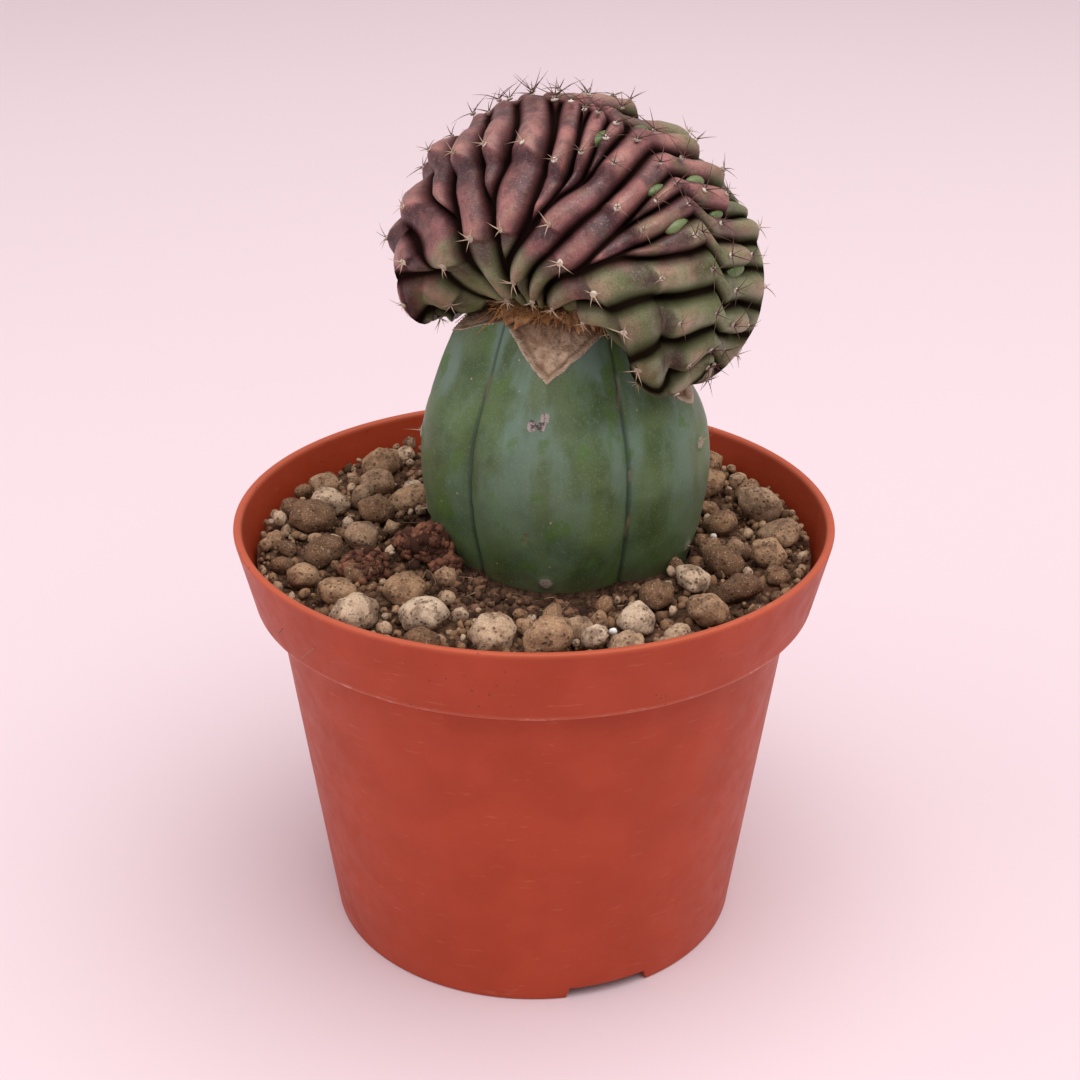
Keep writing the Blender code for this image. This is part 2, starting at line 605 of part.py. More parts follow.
def crest_body(place, down, side):
    """Surface over the rib tops. Place runs along the growing line, down from it to the union.

    Each rib is a cubic curve: it starts on the arc square to the fan, bellies out, and
    comes in to its place on the ring over the stock. Past the eased ends of the arc the
    ribs fan out round its ends, so that front (side 1) and back (side -1) meet there.
    """
    along = np.array((math.cos(FAN_TURN), -math.sin(FAN_TURN), 0.0))
    across = np.array((-math.sin(FAN_TURN), -math.cos(FAN_TURN), 0.0))
    up = np.array((0.0, 0.0, 1.0))
    sign = np.sign(place)
    steady = np.where(sign < 0, ARC_EASE_LEFT, ARC_EASE_RIGHT)
    ease = np.clip((np.abs(place) - steady) / (ARC_END - steady), 0, 1)
    run = sign * (np.minimum(np.abs(place), steady) + (ARC_END - steady) / 2 * (1 - (1 - ease) ** 2))
    angle = ARC_MIDDLE + ARC_HALF * run
    sine = np.sin(angle)[..., None]
    cosine = np.cos(angle)[..., None]
    start = np.array(FAN_CENTRE) + FAN_HALF_WIDTH * sine * along
    start = start + FAN_HALF_HEIGHT * cosine * up + FAN_BOW * cosine * across
    tangent = FAN_HALF_WIDTH * cosine * along - FAN_HALF_HEIGHT * sine * up
    tangent = tangent / np.linalg.norm(tangent, axis=-1, keepdims=True)
    fan = (np.pi / 2 * ease ** 1.5)[..., None]
    leave = side * np.cos(fan) * across + sign[..., None] * np.sin(fan) * tangent

    share = place / ARC_END
    ring = np.pi / 2 * (share + (RING_TWIST + RING_CROWD * share) * (1 - share ** 2))
    ring = ring[..., None]
    outward = np.sin(ring) * along + side * np.cos(ring) * across
    shoulder = SHOULDER_FRONT if side > 0 else SHOULDER_BACK
    shoulder_end = np.where(sign < 0, SHOULDER_LEFT, SHOULDER_RIGHT)[..., None]
    first = np.cos(fan) * shoulder + (1 - np.cos(fan)) * shoulder_end
    facing = np.hypot(np.cos(ring), END_SOFTNESS) - END_SOFTNESS
    facing = facing / (math.hypot(1, END_SOFTNESS) - END_SOFTNESS)
    second = BELLY_END + facing * (BELLY - BELLY_END)
    rise_end = RISE_LEFT + (RISE_RIGHT - RISE_LEFT) * (1 + np.sin(ring)) / 2
    rise_angle = rise_end + facing * (RISE - rise_end)
    lying = smoothstep((-ring - LEFT_TURN) / (LEFT_TURN_END - LEFT_TURN))
    second = second + lying * (BELLY_LEFT - second)
    end = np.array(UNION_CENTRE) + (UNION_RADIUS + UNION_LEFT_REACH * lying) * outward
    end = end - UNION_LEFT_DROP * lying * up
    rise = outward * np.cos(rise_angle) + up * np.sin(rise_angle)
    one = start + first * leave
    two = end + second * rise
    v = down[..., None]
    u = 1 - v
    return u ** 3 * start + 3 * u * u * v * one + 3 * u * v * v * two + v ** 3 * end


def crest_normal(place, down, side):
    """Direction out of the body, from small steps along its surface to either side."""
    step = 1e-3
    along = crest_body(place + step, down, side) - crest_body(place - step, down, side)
    below = crest_body(place, down + step, side) - crest_body(place, down - step, side)
    normal = side * np.cross(below, along)
    return normal / np.linalg.norm(normal, axis=-1, keepdims=True)


def crest_bend_radius(place, down, side):
    """Radius that the body bends to, the smaller of those along the line and down from it."""
    step = 1e-3
    here = crest_body(place, down, side)
    facing = crest_normal(place, down, side)
    radii = []
    for along, below in ((step, 0.0), (0.0, step)):
        moved = crest_body(place + along, down + below, side) - here
        turned = crest_normal(place + along, down + below, side) - facing
        length = np.linalg.norm(moved, axis=-1)
        radii.append(length / (np.linalg.norm(turned, axis=-1) + 1e-6))
    return np.minimum(*radii)


def back_ribs():
    """The same count of ribs as at the front, evenly spaced but for a small seeded shift."""
    rng = random.Random(BACK_SEED)
    ribs = []
    for k in range(BACK_RIB_COUNT):
        place = -1.12 + 2.24 * k / (BACK_RIB_COUNT - 1)
        if 0 < k < BACK_RIB_COUNT - 1:
            place += rng.uniform(-0.018, 0.018)
        turn = k % len(BACK_REACHES)
        ribs.append((place, BACK_REACHES[turn], BACK_AREOLES[turn] + rng.uniform(-0.04, 0.04)))
    return tuple(ribs)


def rib_edges(ribs, down):
    """Grooves at a place down the body, and each rib's share of its full width there.

    A short rib narrows to a remnant past its reach, and the ribs beside it close up.
    """
    places = np.array([rib[0] for rib in ribs])
    reach = np.array([rib[1] for rib in ribs])
    middles = (places[1:] + places[:-1]) / 2
    widths = np.diff(np.concatenate(([-ARC_END], middles, [ARC_END])))
    full = smoothstep((reach - down[:, None]) / RIB_FADE)
    full = np.where(reach >= 1.0, 1.0, full)
    shown = widths * (RIB_REMNANT + (1 - RIB_REMNANT) * full)
    steps = np.cumsum(shown, axis=1) / shown.sum(axis=1, keepdims=True)
    edges = np.concatenate((np.zeros((len(down), 1)), steps), axis=1)
    edges = -ARC_END + 2 * ARC_END * edges
    lean = RIB_LEAN * (1 - down[:, None]) ** 6 * (1 - (edges / ARC_END) ** 2)
    return edges - lean, full


def groove_depth(down):
    """Shallow at the growing line, deepest half way down, shallow again at the union."""
    young = smoothstep(down / 0.3)
    old = smoothstep((1.0 - down) / 0.35)
    return GROOVE_DEPTH * (0.4 + 0.6 * young) * (0.35 + 0.65 * old)


def tubercle(down, first_areole):
    """Saw-tooth along a rib: 0 at each areole, sharply lower below it, rising to the next."""
    phase = np.mod((down - first_areole) / AREOLE_STEP, 1.0)
    drop = smoothstep(phase / 0.14)
    climb = 1.0 - smoothstep((phase - 0.14) / 0.86)
    fade = smoothstep(down / 0.08) * smoothstep((1.0 - down) / 0.12)
    return -TUBERCLE_RELIEF * drop * climb * fade


def groove_depths(edges, full, down, side):
    """Depth of each groove: less where the ribs beside it are narrow or the body bends."""
    rows = np.broadcast_to(down[:, None], edges.shape)
    grooves = crest_body(edges, rows, side)
    widths = np.linalg.norm(np.diff(grooves, axis=1), axis=-1)
    near = np.pad(widths, ((0, 0), (NEAR_RIBS, NEAR_RIBS)), mode="edge")
    near = np.lib.stride_tricks.sliding_window_view(near, 2 * NEAR_RIBS + 1, axis=1).max(axis=-1)
    beside = np.pad(full * widths + (1 - full) * near, ((0, 0), (1, 1)), mode="edge")
    narrow = GROOVE_SHARE * np.maximum(beside[:, 1:], beside[:, :-1])
    bent = BEND_SHARE * np.maximum(crest_bend_radius(edges, rows, side) - SHARP_BEND, 0.0)
    return np.minimum(groove_depth(down)[:, None], np.minimum(narrow, bent))


def crest_points(ribs, side):
    """Grid of points of one face: rows down the body, columns over each rib in turn."""
    down = np.linspace(GROWING_BAND, 1.0, CREST_ROWS)
    edges, full = rib_edges(ribs, down)
    depths = groove_depths(edges, full, down, side)
    columns = []
    sink = []
    for i, rib in enumerate(ribs):
        for across in ACROSS_RIB:
            share = (across + 1) / 2
            columns.append(edges[:, i] + (edges[:, i + 1] - edges[:, i]) * share)
            depth = depths[:, i] + (depths[:, i + 1] - depths[:, i]) * share
            crown = full[:, i] * math.cos(math.pi / 2 * across) ** CROWN_ROUNDNESS
            dip = np.minimum(-tubercle(down, rib[2]), depth * TUBERCLE_SHARE)
            sink.append(depth * (1 - crown) + dip * crown)
    columns.append(edges[:, -1])
    sink.append(depths[:, -1])
    place = np.stack(columns, axis=1)
    depth = np.stack(sink, axis=1)
    rows = np.broadcast_to(down[:, None], place.shape)
    points = crest_body(place, rows, side) - depth[..., None] * crest_normal(place, rows, side)
    return rest_on_stock(points)


def rest_on_stock(points):
    """Lifts whatever would reach into the stock or its dried tissue until it lies on them."""
    away = np.hypot(points[..., 0] - STOCK_AXIS[0], points[..., 1] - STOCK_AXIS[1])
    over_tissue = 1 - smoothstep((away - TISSUE_REACH) / TISSUE_REACH_BLEND)
    on_tissue = TISSUE_CLEARANCE + TISSUE_THICKNESS + GAP
    clearance = CREST_CLEARANCE + (on_tissue - CREST_CLEARANCE) * over_tissue
    floor = stock_top_height(points[..., 0], points[..., 1]) + clearance
    floor = np.where(away < FLAT_REACH, STOCK_TOP + on_tissue, floor)
    floor = np.where(away < stock_ridge_radius(72 * MM), floor, 0.0)
    points[..., 2] = np.maximum(points[..., 2], floor)
    return points


def make_crest_body(faces, parts):
    """The ribbed body: front and back faces closed along the growing line and at the union."""
    front = crest_points(faces[1], 1)
    back = crest_points(faces[-1], -1)
    loop = np.concatenate((front, back[:, -2:0:-1]), axis=1)
    centre = np.array(UNION_CENTRE)
    sole = [rest_on_stock(centre + share * (loop[-1] - centre)) for share in SOLE_RINGS]
    loop = np.concatenate((loop, sole))
    count = loop.shape[1]
    last = front.shape[1] - 1
    bm = bmesh.new()
    rows = [[bm.verts.new(point) for point in row] for row in loop]
    for upper, lower in zip(rows, rows[1:]):
        for i in range(count):
            j = (i + 1) % count
            bm.faces.new((upper[i], lower[i], lower[j], upper[j]))
    crown = rows[0]
    for i in range(1, last - 1):
        j = count - i
        bm.faces.new((crown[i], crown[i + 1], crown[j - 1], crown[j]))
    bm.faces.new((crown[0], crown[1], crown[count - 1]))
    bm.faces.new((crown[last], crown[last + 1], crown[last - 1]))
    middle = bm.verts.new(UNION_CENTRE)
    for i in range(count):
        bm.faces.new((rows[-1][i], middle, rows[-1][(i + 1) % count]))
    bmesh.ops.triangulate(bm, faces=bm.faces)
    return object_from_bmesh("crest", bm, parts)


def areole_spots(rib, with_young):
    """Places down one rib that carry spines: one by the growing line, then at even steps."""
    reach = min(rib[1] - 0.12, 0.8)
    spots = [rib[2] + AREOLE_STEP * k for k in range(3)]
    young = [0.03] if with_young else []
    return young + [spot for spot in spots if spot < reach]


def make_crest(parts, cutters):
    """Crested body with its ribs and tubercles, and a spray of spines on every areole."""
    faces = {1: FRONT_RIBS, -1: back_ribs()}
    crest = make_crest_body(faces, parts)
    rng = random.Random(SPINE_SEED)
    needles = bpy.data.collections.new("crest_spines")
    cutters.children.link(needles)
    centres = face_centres(crest.data)
    for side, ribs in faces.items():
        for i, rib in enumerate(ribs):
            for spot in areole_spots(rib, with_young=side > 0 and i % 2 == 0):
                add_spray(needles, centres, ribs, i, spot, side, rng)
    join_with(crest, needles, "UNION", "MANIFOLD")
    return crest


def face_centres(mesh):
    tree = KDTree(len(mesh.polygons))
    for face in mesh.polygons:
        tree.insert(face.center, face.index)
    tree.balance()
    return tree


def add_spray(collection, centres, ribs, index, spot, side, rng):
    """The spines of one areole: rooted in the nearest facets, spread away from each other."""
    down = np.array([spot])
    edges, _ = rib_edges(ribs, down)
    place = np.array([(edges[0, index] + edges[0, index + 1]) / 2])
    middle = Vector(crest_body(place, down, side)[0])
    out = Vector(crest_normal(place, down, side)[0])
    away = math.hypot(middle.x - STOCK_AXIS[0], middle.y - STOCK_AXIS[1])
    bare = float(stock_ridge_radius(middle.z)) + BARE_NEAR_STOCK
    if middle.z < STOCK_TOP + BARE_NEAR_STOCK and away < bare:
        return
    nearest = centres.find_n(middle, SPINES_PER_AREOLE)
    for root, _, _ in nearest:
        apart = root - middle
        apart = (apart - out * apart.dot(out)).normalized()
        lean = SPINE_SPREAD * rng.uniform(0.6, 1.1)
        direction = (out * math.cos(lean) + apart * math.sin(lean)).normalized()
        length = SPINE_LENGTH * rng.uniform(0.8, 1.1)
        add_needle(collection, root, direction, length, SPINE_RADIUS, SPINE_ROOT)


def build():
    clear_scene()
    parts = new_collection("potted_gymnocalycium")
    cutters = new_collection("cutters")
    rng = random.Random(SPINE_SEED)
    pieces = [
        make_pot(parts, cutters),
        make_soil(parts, cutters),
        make_grit(parts, cutters),
        make_stock(parts, cutters, rng),
        make_tissue(parts),
        make_crest(parts, cutters),
    ]
    for piece in pieces:
        piece.data.materials.clear()
        piece.data.materials.append(material_for(piece.name))


build()
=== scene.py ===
# Looks of a potted gymnocalycium: a crested gymnocalycium grafted on a five-ribbed stock,
# in a plastic nursery pot filled with soil and topped with pumice grit.
# Metres, +Z up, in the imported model's frame. The front of the plant looks towards -Y.

import json
import math
import random

import bmesh
import bpy
import numpy as np
from mathutils import Euler, Matrix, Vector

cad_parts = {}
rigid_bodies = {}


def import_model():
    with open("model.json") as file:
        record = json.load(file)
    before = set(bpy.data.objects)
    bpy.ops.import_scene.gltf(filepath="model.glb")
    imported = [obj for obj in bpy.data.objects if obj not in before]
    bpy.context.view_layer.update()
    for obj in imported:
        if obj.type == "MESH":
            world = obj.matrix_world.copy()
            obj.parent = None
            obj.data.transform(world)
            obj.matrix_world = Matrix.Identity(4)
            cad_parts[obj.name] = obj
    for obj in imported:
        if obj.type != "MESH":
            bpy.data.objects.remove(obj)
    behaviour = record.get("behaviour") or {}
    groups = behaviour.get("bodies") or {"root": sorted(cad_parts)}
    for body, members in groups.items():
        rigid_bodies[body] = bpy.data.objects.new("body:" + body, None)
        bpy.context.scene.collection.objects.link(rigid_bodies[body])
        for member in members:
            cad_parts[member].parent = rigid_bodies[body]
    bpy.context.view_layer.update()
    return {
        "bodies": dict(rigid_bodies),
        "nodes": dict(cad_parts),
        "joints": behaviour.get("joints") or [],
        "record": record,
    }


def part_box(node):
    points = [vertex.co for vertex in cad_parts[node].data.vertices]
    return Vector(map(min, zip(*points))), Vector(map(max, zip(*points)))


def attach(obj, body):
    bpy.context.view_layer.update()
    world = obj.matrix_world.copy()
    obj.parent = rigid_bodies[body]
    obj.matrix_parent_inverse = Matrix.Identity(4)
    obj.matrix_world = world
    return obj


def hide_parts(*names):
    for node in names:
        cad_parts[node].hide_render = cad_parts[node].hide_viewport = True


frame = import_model()
MM = 0.001

# Pot: a thin moulded plastic pot, terracotta coloured and satin. It has a stepped-out
# collar with a round lip, a raised floor with four drain holes, and a foot ring with
# three notches. It came out of its mould in one piece.

POT_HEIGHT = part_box("pot")[1].z
RIM_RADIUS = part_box("pot")[1].x
COLLAR_HEIGHT = 10.9 * MM
COLLAR_FOOT = POT_HEIGHT - COLLAR_HEIGHT
COLLAR_FOOT_RADIUS = 39.9 * MM
BODY_TOP_RADIUS = 37.0 * MM
FOOT_RADIUS = 30.1 * MM
WALL = 1.2 * MM
FLOOR_UNDERSIDE = 2.4 * MM
FLOOR_TOP = FLOOR_UNDERSIDE + 1.4 * MM
NOTCH_HEIGHT = 1.7 * MM
NOTCH_WIDTH = 12.5 * MM
NOTCH_ANGLES = np.radians((21, 141, 261))      # from the front, to the right
NOTCH_SLANT = 0.5 * MM                         # run of a notch's sides
FOOT_BAND = 4.0 * MM                           # height within which the notches shape the foot
DRAIN_RADIUS = 2.6 * MM
DRAIN_CIRCLE = 16.0 * MM
DRAIN_ANGLES = np.radians((45, 135, 225, 315))
POT_COLUMNS = 288


def smoothstep(x):
    """An eased step: 0 up to 0, 1 from 1 on, and x squared times (3 - 2x) between them."""
    x = np.clip(x, 0.0, 1.0)
    return x * x * (3 - 2 * x)


def unit(vectors):
    """Vectors brought to a length of 1."""
    return vectors / np.linalg.norm(vectors, axis=-1, keepdims=True)


def half_turn(angle):
    """An angle brought to within half a turn of 0."""
    return np.angle(np.exp(1j * angle))


def rounded_path(corners, steps=6):
    """A path with its corners rounded. Each corner is a point and a length: the path leaves the
    straight run that length before the corner and joins the next one that length after it, along
    a parabola, but takes up no more than half of either run. A point on either run beside the
    curve keeps the straight runs flat."""
    points = np.array([corner[:2] for corner in corners])
    lengths = [corner[2] for corner in corners]
    path = [points[:1]]
    t = np.linspace(0, 1, steps)[:, None]
    for before, corner, after, length in zip(points, points[1:], points[2:], lengths[1:-1]):
        runs = [np.linalg.norm(before - corner), np.linalg.norm(after - corner)]
        back = (before - corner) / runs[0]
        on = (after - corner) / runs[1]
        length = min(length, 0.46 * min(runs))
        curve = corner + length * ((1 - t) ** 2 * back + t ** 2 * on)
        beside = [min(1.5 * length, 0.49 * run) for run in runs]
        path += [(corner + beside[0] * back)[None], curve, (corner + beside[1] * on)[None]]
    path.append(points[-1:])
    return np.concatenate(path)


def pot_inner_radius(height):
    """Radius of the pot's inner wall at a height: the wall steps out behind the collar."""
    if height > COLLAR_FOOT + 1.5 * WALL:
        share = (height - COLLAR_FOOT) / COLLAR_HEIGHT
        return COLLAR_FOOT_RADIUS - WALL + share * (RIM_RADIUS - COLLAR_FOOT_RADIUS)
    return FOOT_RADIUS - WALL + height / COLLAR_FOOT * (BODY_TOP_RADIUS - FOOT_RADIUS)


def grid_faces(rows, columns):
    """Four-sided faces between the rows of a grid that is closed round along its columns."""
    r, c = np.meshgrid(np.arange(rows - 1), np.arange(columns), indexing="ij")
    here = r * columns + c
    beside = r * columns + (c + 1) % columns
    return np.stack((here, beside, beside + columns, here + columns), axis=-1).reshape(-1, 4)


def new_piece(name, points, faces, values=None):
    """A smooth-shaded piece from its points and faces, with a value at each point per attribute."""
    mesh = bpy.data.meshes.new(name)
    mesh.from_pydata(points.reshape(-1, 3), [], [face for group in faces for face in group.tolist()])
    for label, numbers in (values or {}).items():
        attribute = mesh.attributes.new(label, "FLOAT", "POINT")
        attribute.data.foreach_set("value", np.asarray(numbers, np.float32).ravel())
    mesh.shade_smooth()
    piece = bpy.data.objects.new(name, mesh)
    bpy.context.scene.collection.objects.link(piece)
    return piece


def skin_faces(rows, columns):
    """Faces between rings one after another, and fans to a pole before them and one after."""
    here = np.arange(columns)
    beside = (here + 1) % columns
    pole = np.full(columns, rows * columns)
    last = (rows - 1) * columns
    return [
        grid_faces(rows, columns),
        np.stack((beside, here, pole), axis=1),
        np.stack((last + here, last + beside, pole + 1), axis=1),
    ]


def closed_skin(name, rings, start, end, values=None):
    """A closed body: rings of points one after another, with a pole before the first and after
    the last. Rings run anticlockwise seen from the end pole."""
    points = np.concatenate((rings.reshape(-1, 3), [start, end]))
    padded = {
        label: np.concatenate((np.ravel(numbers), [numbers[0, 0], numbers[-1, 0]]))
        for label, numbers in (values or {}).items()
    }
    return new_piece(name, points, skin_faces(*rings.shape[:2]), padded)


class Finish:
    """A material with one shader, built up from patterns on the piece's own coordinates."""

    def __init__(self, name, **sockets):
        self.material = bpy.data.materials.new(name)
        self.material.use_nodes = True
        self.tree = self.material.node_tree
        self.shader = self.tree.nodes["Principled BSDF"]
        self.where = self.add("TexCoord", {}, output="Object")
        for socket, value in sockets.items():
            self.set(socket.replace("_", " "), value)

    def add(self, kind, inputs, output=0, **settings):
        """One node: its settings, and for each input a number, a colour or another's output."""
        node = self.tree.nodes.new("ShaderNode" + kind)
        for setting, value in settings.items():
            setattr(node, setting, value)
        for socket, value in inputs.items():
            if isinstance(value, bpy.types.NodeSocket):
                self.tree.links.new(value, node.inputs[socket])
            else:
                node.inputs[socket].default_value = value
        return node.outputs[output]

    def set(self, socket, value):
        if isinstance(value, bpy.types.NodeSocket):
            self.tree.links.new(value, self.shader.inputs[socket])
        else:
            self.shader.inputs[socket].default_value = value

    def noise(self, size, detail=3.0, rough=0.55, stretch=(1, 1, 1), twist=0.0):
        """Soft noise from 0 to 1 with lumps of about a size in metres, longer where stretched."""
        scaled = self.add("Mapping", {0: self.where, 3: [1 / s for s in stretch]})
        inputs = {"Vector": scaled, "Scale": 1 / size, "Detail": detail, "Roughness": rough}
        return self.add("TexNoise", {**inputs, "Distortion": twist})

    def cells(self, size, feature="F1"):
        """Distance to the nearest of scattered points that are about a size apart."""
        inputs = {"Vector": self.where, "Scale": 1 / size}
        return self.add("TexVoronoi", inputs, output="Distance", feature=feature)

    def value(self, attribute):
        return self.add("Attribute", {}, output="Fac", attribute_name=attribute)

    def height(self):
        return self.add("SeparateXYZ", {0: self.where}, output=2)

    def span(self, value, low, high, to_low=0.0, to_high=1.0):
        """The value's run from low to high made into one from to_low to to_high, eased and clamped."""
        inputs = {0: value, 1: low, 2: high, 3: to_low, 4: to_high}
        return self.add("MapRange", inputs, interpolation_type="SMOOTHSTEP")

    def math(self, operation, first, second):
        return self.add("Math", {0: first, 1: second}, operation=operation)

    def times(self, first, second):
        return self.math("MULTIPLY", first, second)

    def plus(self, first, second):
        return self.math("ADD", first, second)

    def wander(self, amount, size, **shape):
        """Noise that strays from 0 by half an amount either way."""
        return self.times(self.math("SUBTRACT", self.noise(size, **shape), 0.5), amount)

    def mix(self, factor, under, over):
        """One colour over another, by a factor."""
        inputs = {0: factor, 6: under, 7: over}
        inputs = {k: (*v, 1.0) if isinstance(v, tuple) and k > 0 else v for k, v in inputs.items()}
        return self.add("Mix", inputs, output=2, data_type="RGBA")

    def stain(self, colour, over, pattern, strength):
        """A colour with another over it where a pattern is 1, at a strength."""
        return self.mix(self.times(pattern, strength), colour, over)

    def patches(self, colour, over, size, low, high, strength=1.0, **shape):
        """A colour with patches of another, which come in as noise of a size goes from low to high."""
        return self.mix(self.span(self.noise(size, **shape), low, high, 0, strength), colour, over)

    def bump(self, height, depth, strength=1.0, under=None):
        """Relief of a depth in metres, over any relief under it."""
        inputs = {"Strength": strength, "Distance": depth, "Height": height}
        if under is not None:
            inputs["Normal"] = under
        return self.add("Bump", inputs)

    def on(self, piece):
        piece.data.materials.clear()
        piece.data.materials.append(self.material)
        return piece


def pot_outline():
    """Half the pot's section: from the middle of its underside, up the outside and down inside."""
    inner_step = COLLAR_FOOT + 1.2 * WALL
    return rounded_path((
        (0.0, FLOOR_UNDERSIDE, 0),
        (FOOT_RADIUS - WALL, FLOOR_UNDERSIDE, 0.3 * MM),
        (FOOT_RADIUS - WALL, 0.0, 0.35 * MM),
        (FOOT_RADIUS, 0.0, 0.35 * MM),
        (BODY_TOP_RADIUS, COLLAR_FOOT - 0.2 * MM, 0.3 * MM),
        (COLLAR_FOOT_RADIUS, COLLAR_FOOT, 0.5 * MM),
        (RIM_RADIUS, POT_HEIGHT, 0.62 * MM),
        (RIM_RADIUS - WALL, POT_HEIGHT, 0.62 * MM),
        (pot_inner_radius(inner_step + 0.6 * WALL), inner_step + 0.6 * WALL, 0.4 * MM),
        (pot_inner_radius(inner_step - 0.2 * WALL), inner_step - 0.2 * WALL, 0.4 * MM),
        (pot_inner_radius(FLOOR_TOP), FLOOR_TOP, 1.0 * MM),
        (0.0, FLOOR_TOP, 0),
    ))


def make_pot():
    """The outline turned about Z, its foot raised at the notches, and its floor drilled."""
    outline = pot_outline()[1:-1]
    half = NOTCH_WIDTH / 2 / FOOT_RADIUS
    slant = NOTCH_SLANT / FOOT_RADIUS
    sides = np.concatenate([NOTCH_ANGLES + side for side in (-half, slant - half, half - slant, half)])
    even = np.linspace(0, 2 * np.pi, POT_COLUMNS, endpoint=False)
    angles = np.sort(np.concatenate((even, sides)))
    apart = np.abs(half_turn(angles[:, None] - NOTCH_ANGLES)).min(axis=1)
    raised = NOTCH_HEIGHT * np.clip((half - apart) / slant, 0, 1)
    radius = np.broadcast_to(outline[:, :1], (len(outline), len(angles)))
    height = np.broadcast_to(outline[:, 1:], radius.shape)
    lift = raised * np.clip(1 - height / FOOT_BAND, 0, 1)
    outside = outline[:, :1] > FOOT_RADIUS - WALL / 2
    taper = (BODY_TOP_RADIUS - FOOT_RADIUS) / COLLAR_FOOT
    foot = (outline[:, 1:] < FLOOR_UNDERSIDE - 0.01 * MM) | outside
    height = height + np.where(foot, lift, 0)
    radius = radius + np.where(outside, taper * lift, 0)
    rings = np.stack((radius * np.sin(angles), -radius * np.cos(angles), height), axis=-1)
    pot = closed_skin("pot_shell", rings, (0, 0, FLOOR_UNDERSIDE), (0, 0, FLOOR_TOP))

    drills = bpy.data.collections.new("drain_drills")
    bpy.context.scene.collection.children.link(drills)
    for angle in DRAIN_ANGLES:
        drill = bmesh.new()
        bmesh.ops.create_cone(
            drill, cap_ends=True, segments=32, radius1=DRAIN_RADIUS, radius2=DRAIN_RADIUS,
            depth=4 * (FLOOR_TOP - FLOOR_UNDERSIDE),
        )
        centre = (DRAIN_CIRCLE * math.sin(angle), -DRAIN_CIRCLE * math.cos(angle), FLOOR_TOP)
        bmesh.ops.translate(drill, vec=centre, verts=drill.verts)
        mesh = bpy.data.meshes.new("drain_drill")
        drill.to_mesh(mesh)
        drill.free()
        drills.objects.link(bpy.data.objects.new("drain_drill", mesh))
    cut = pot.modifiers.new("Drain holes", "BOOLEAN")
    cut.operand_type = "COLLECTION"
    cut.collection = drills
    cut.operation = "DIFFERENCE"
    cut.solver = "MANIFOLD"
    bpy.context.view_layer.update()
    drilled = pot.evaluated_get(bpy.context.evaluated_depsgraph_get())
    mesh = bpy.data.meshes.new_from_object(drilled)
    pot.modifiers.clear()
    pot.data = mesh
    for drill in list(drills.objects):
        bpy.data.objects.remove(drill, do_unlink=True)
    bpy.data.collections.remove(drills)
    mesh.set_sharp_from_angle(angle=math.radians(60))
    return pot


def pot_finish():
    """Satin moulded plastic: slightly mottled, with a painted highlight on the lip and along the
    collar's lower edge, pale scuffs on that edge, and specks of soil.
    """
    f = Finish("terracotta_plastic", Roughness=0.45, Specular_IOR_Level=0.25)
    colour = f.patches((0.375, 0.043, 0.013), (0.425, 0.052, 0.018), 9 * MM, 0.3, 0.7, detail=4)
    height = f.height()
    under_collar = f.span(height, COLLAR_FOOT - 0.1 * MM, COLLAR_FOOT + 0.9 * MM, 1, 0)
    on_collar = f.span(height, COLLAR_FOOT - 0.35 * MM, COLLAR_FOOT - 0.1 * MM)
    scuffs = f.span(f.noise(1.1 * MM, detail=5, stretch=(2.2, 2.2, 1)), 0.56, 0.66)
    # A painted highlight along the collar's lower edge, with pale scuffs laid over it.
    edge = f.times(under_collar, on_collar)
    colour = f.stain(colour, (0.62, 0.24, 0.15), edge, 0.35)
    colour = f.stain(colour, (0.75, 0.5, 0.4), edge, f.times(scuffs, 0.6))
    # A painted highlight along the rounded lip.
    lip_highlight = f.span(height, POT_HEIGHT - 0.9 * MM, POT_HEIGHT)
    colour = f.stain(colour, (0.62, 0.17, 0.09), lip_highlight, 0.35)
    dusty = f.span(f.noise(14 * MM, detail=2), 0.5, 0.62)
    specks = f.span(f.cells(1.5 * MM), 0.06, 0.13, 1, 0)
    upper = f.span(height, COLLAR_FOOT - 6 * MM, COLLAR_FOOT + 2 * MM)
    specks = f.times(f.times(specks, dusty), upper)
    colour = f.stain(colour, (0.09, 0.02, 0.012), specks, 0.7)
    streaks = f.span(f.noise(0.7 * MM, detail=4, stretch=(5, 5, 1)), 0.62, 0.74)
    f.set("Base Color", f.stain(colour, (0.7, 0.3, 0.2), streaks, 0.12))
    f.set("Roughness", f.span(f.noise(3 * MM, detail=5), 0.25, 0.75, 0.4, 0.54))
    skin = f.bump(f.noise(0.35 * MM, detail=2), 0.02 * MM, 0.5)
    f.set("Normal", f.bump(f.noise(12 * MM, detail=1), 0.25 * MM, 0.6, under=skin))
    return f


pot = pot_finish().on(make_pot())
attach(pot, "root")
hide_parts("pot")

# Soil: dark peaty potting soil that fills the pot, damp and crumbly, with a reddish lump
# at the stock's left and with fine dry fibres. It was poured in round the stock's foot.

SOIL_LEVEL = 56.4 * MM
MOUND_CENTRE = (-14.5 * MM, -0.5 * MM)
MOUND_HEIGHT = 3.4 * MM
MOUND_RADIUS = 6.5 * MM
STOCK_AXIS = (4.6 * MM, 3.0 * MM)
STOCK_RIB_ANGLES = np.radians((-10, 62, 134, 206, 278))
STOCK_GROOVE = 0.13
STOCK_PROFILE = np.array((                     # height and radius over the ribs, mm
    (31, 7.5), (33, 11), (40, 14.8), (53, 17.6), (58, 18.5), (62, 19.6), (67, 20.5),
    (72, 20.7), (77, 20.1), (82, 18.7), (87, 16.9), (94, 13.6),
)) * MM
SOIL_COLUMNS = 420
SOIL_CRUMBS = 3600
CLODS = (                                      # middle and radius, mm
    (-14.2, -5.2, 60.0, 2.6), (-16.8, -4.4, 59.3, 2.0),
    (-23.2, -11.6, 59.0, 2.6), (-12.2, -8.4, 57.9, 1.5),
)
CLOD_SQUASH = (1.1, 0.95, 0.85)
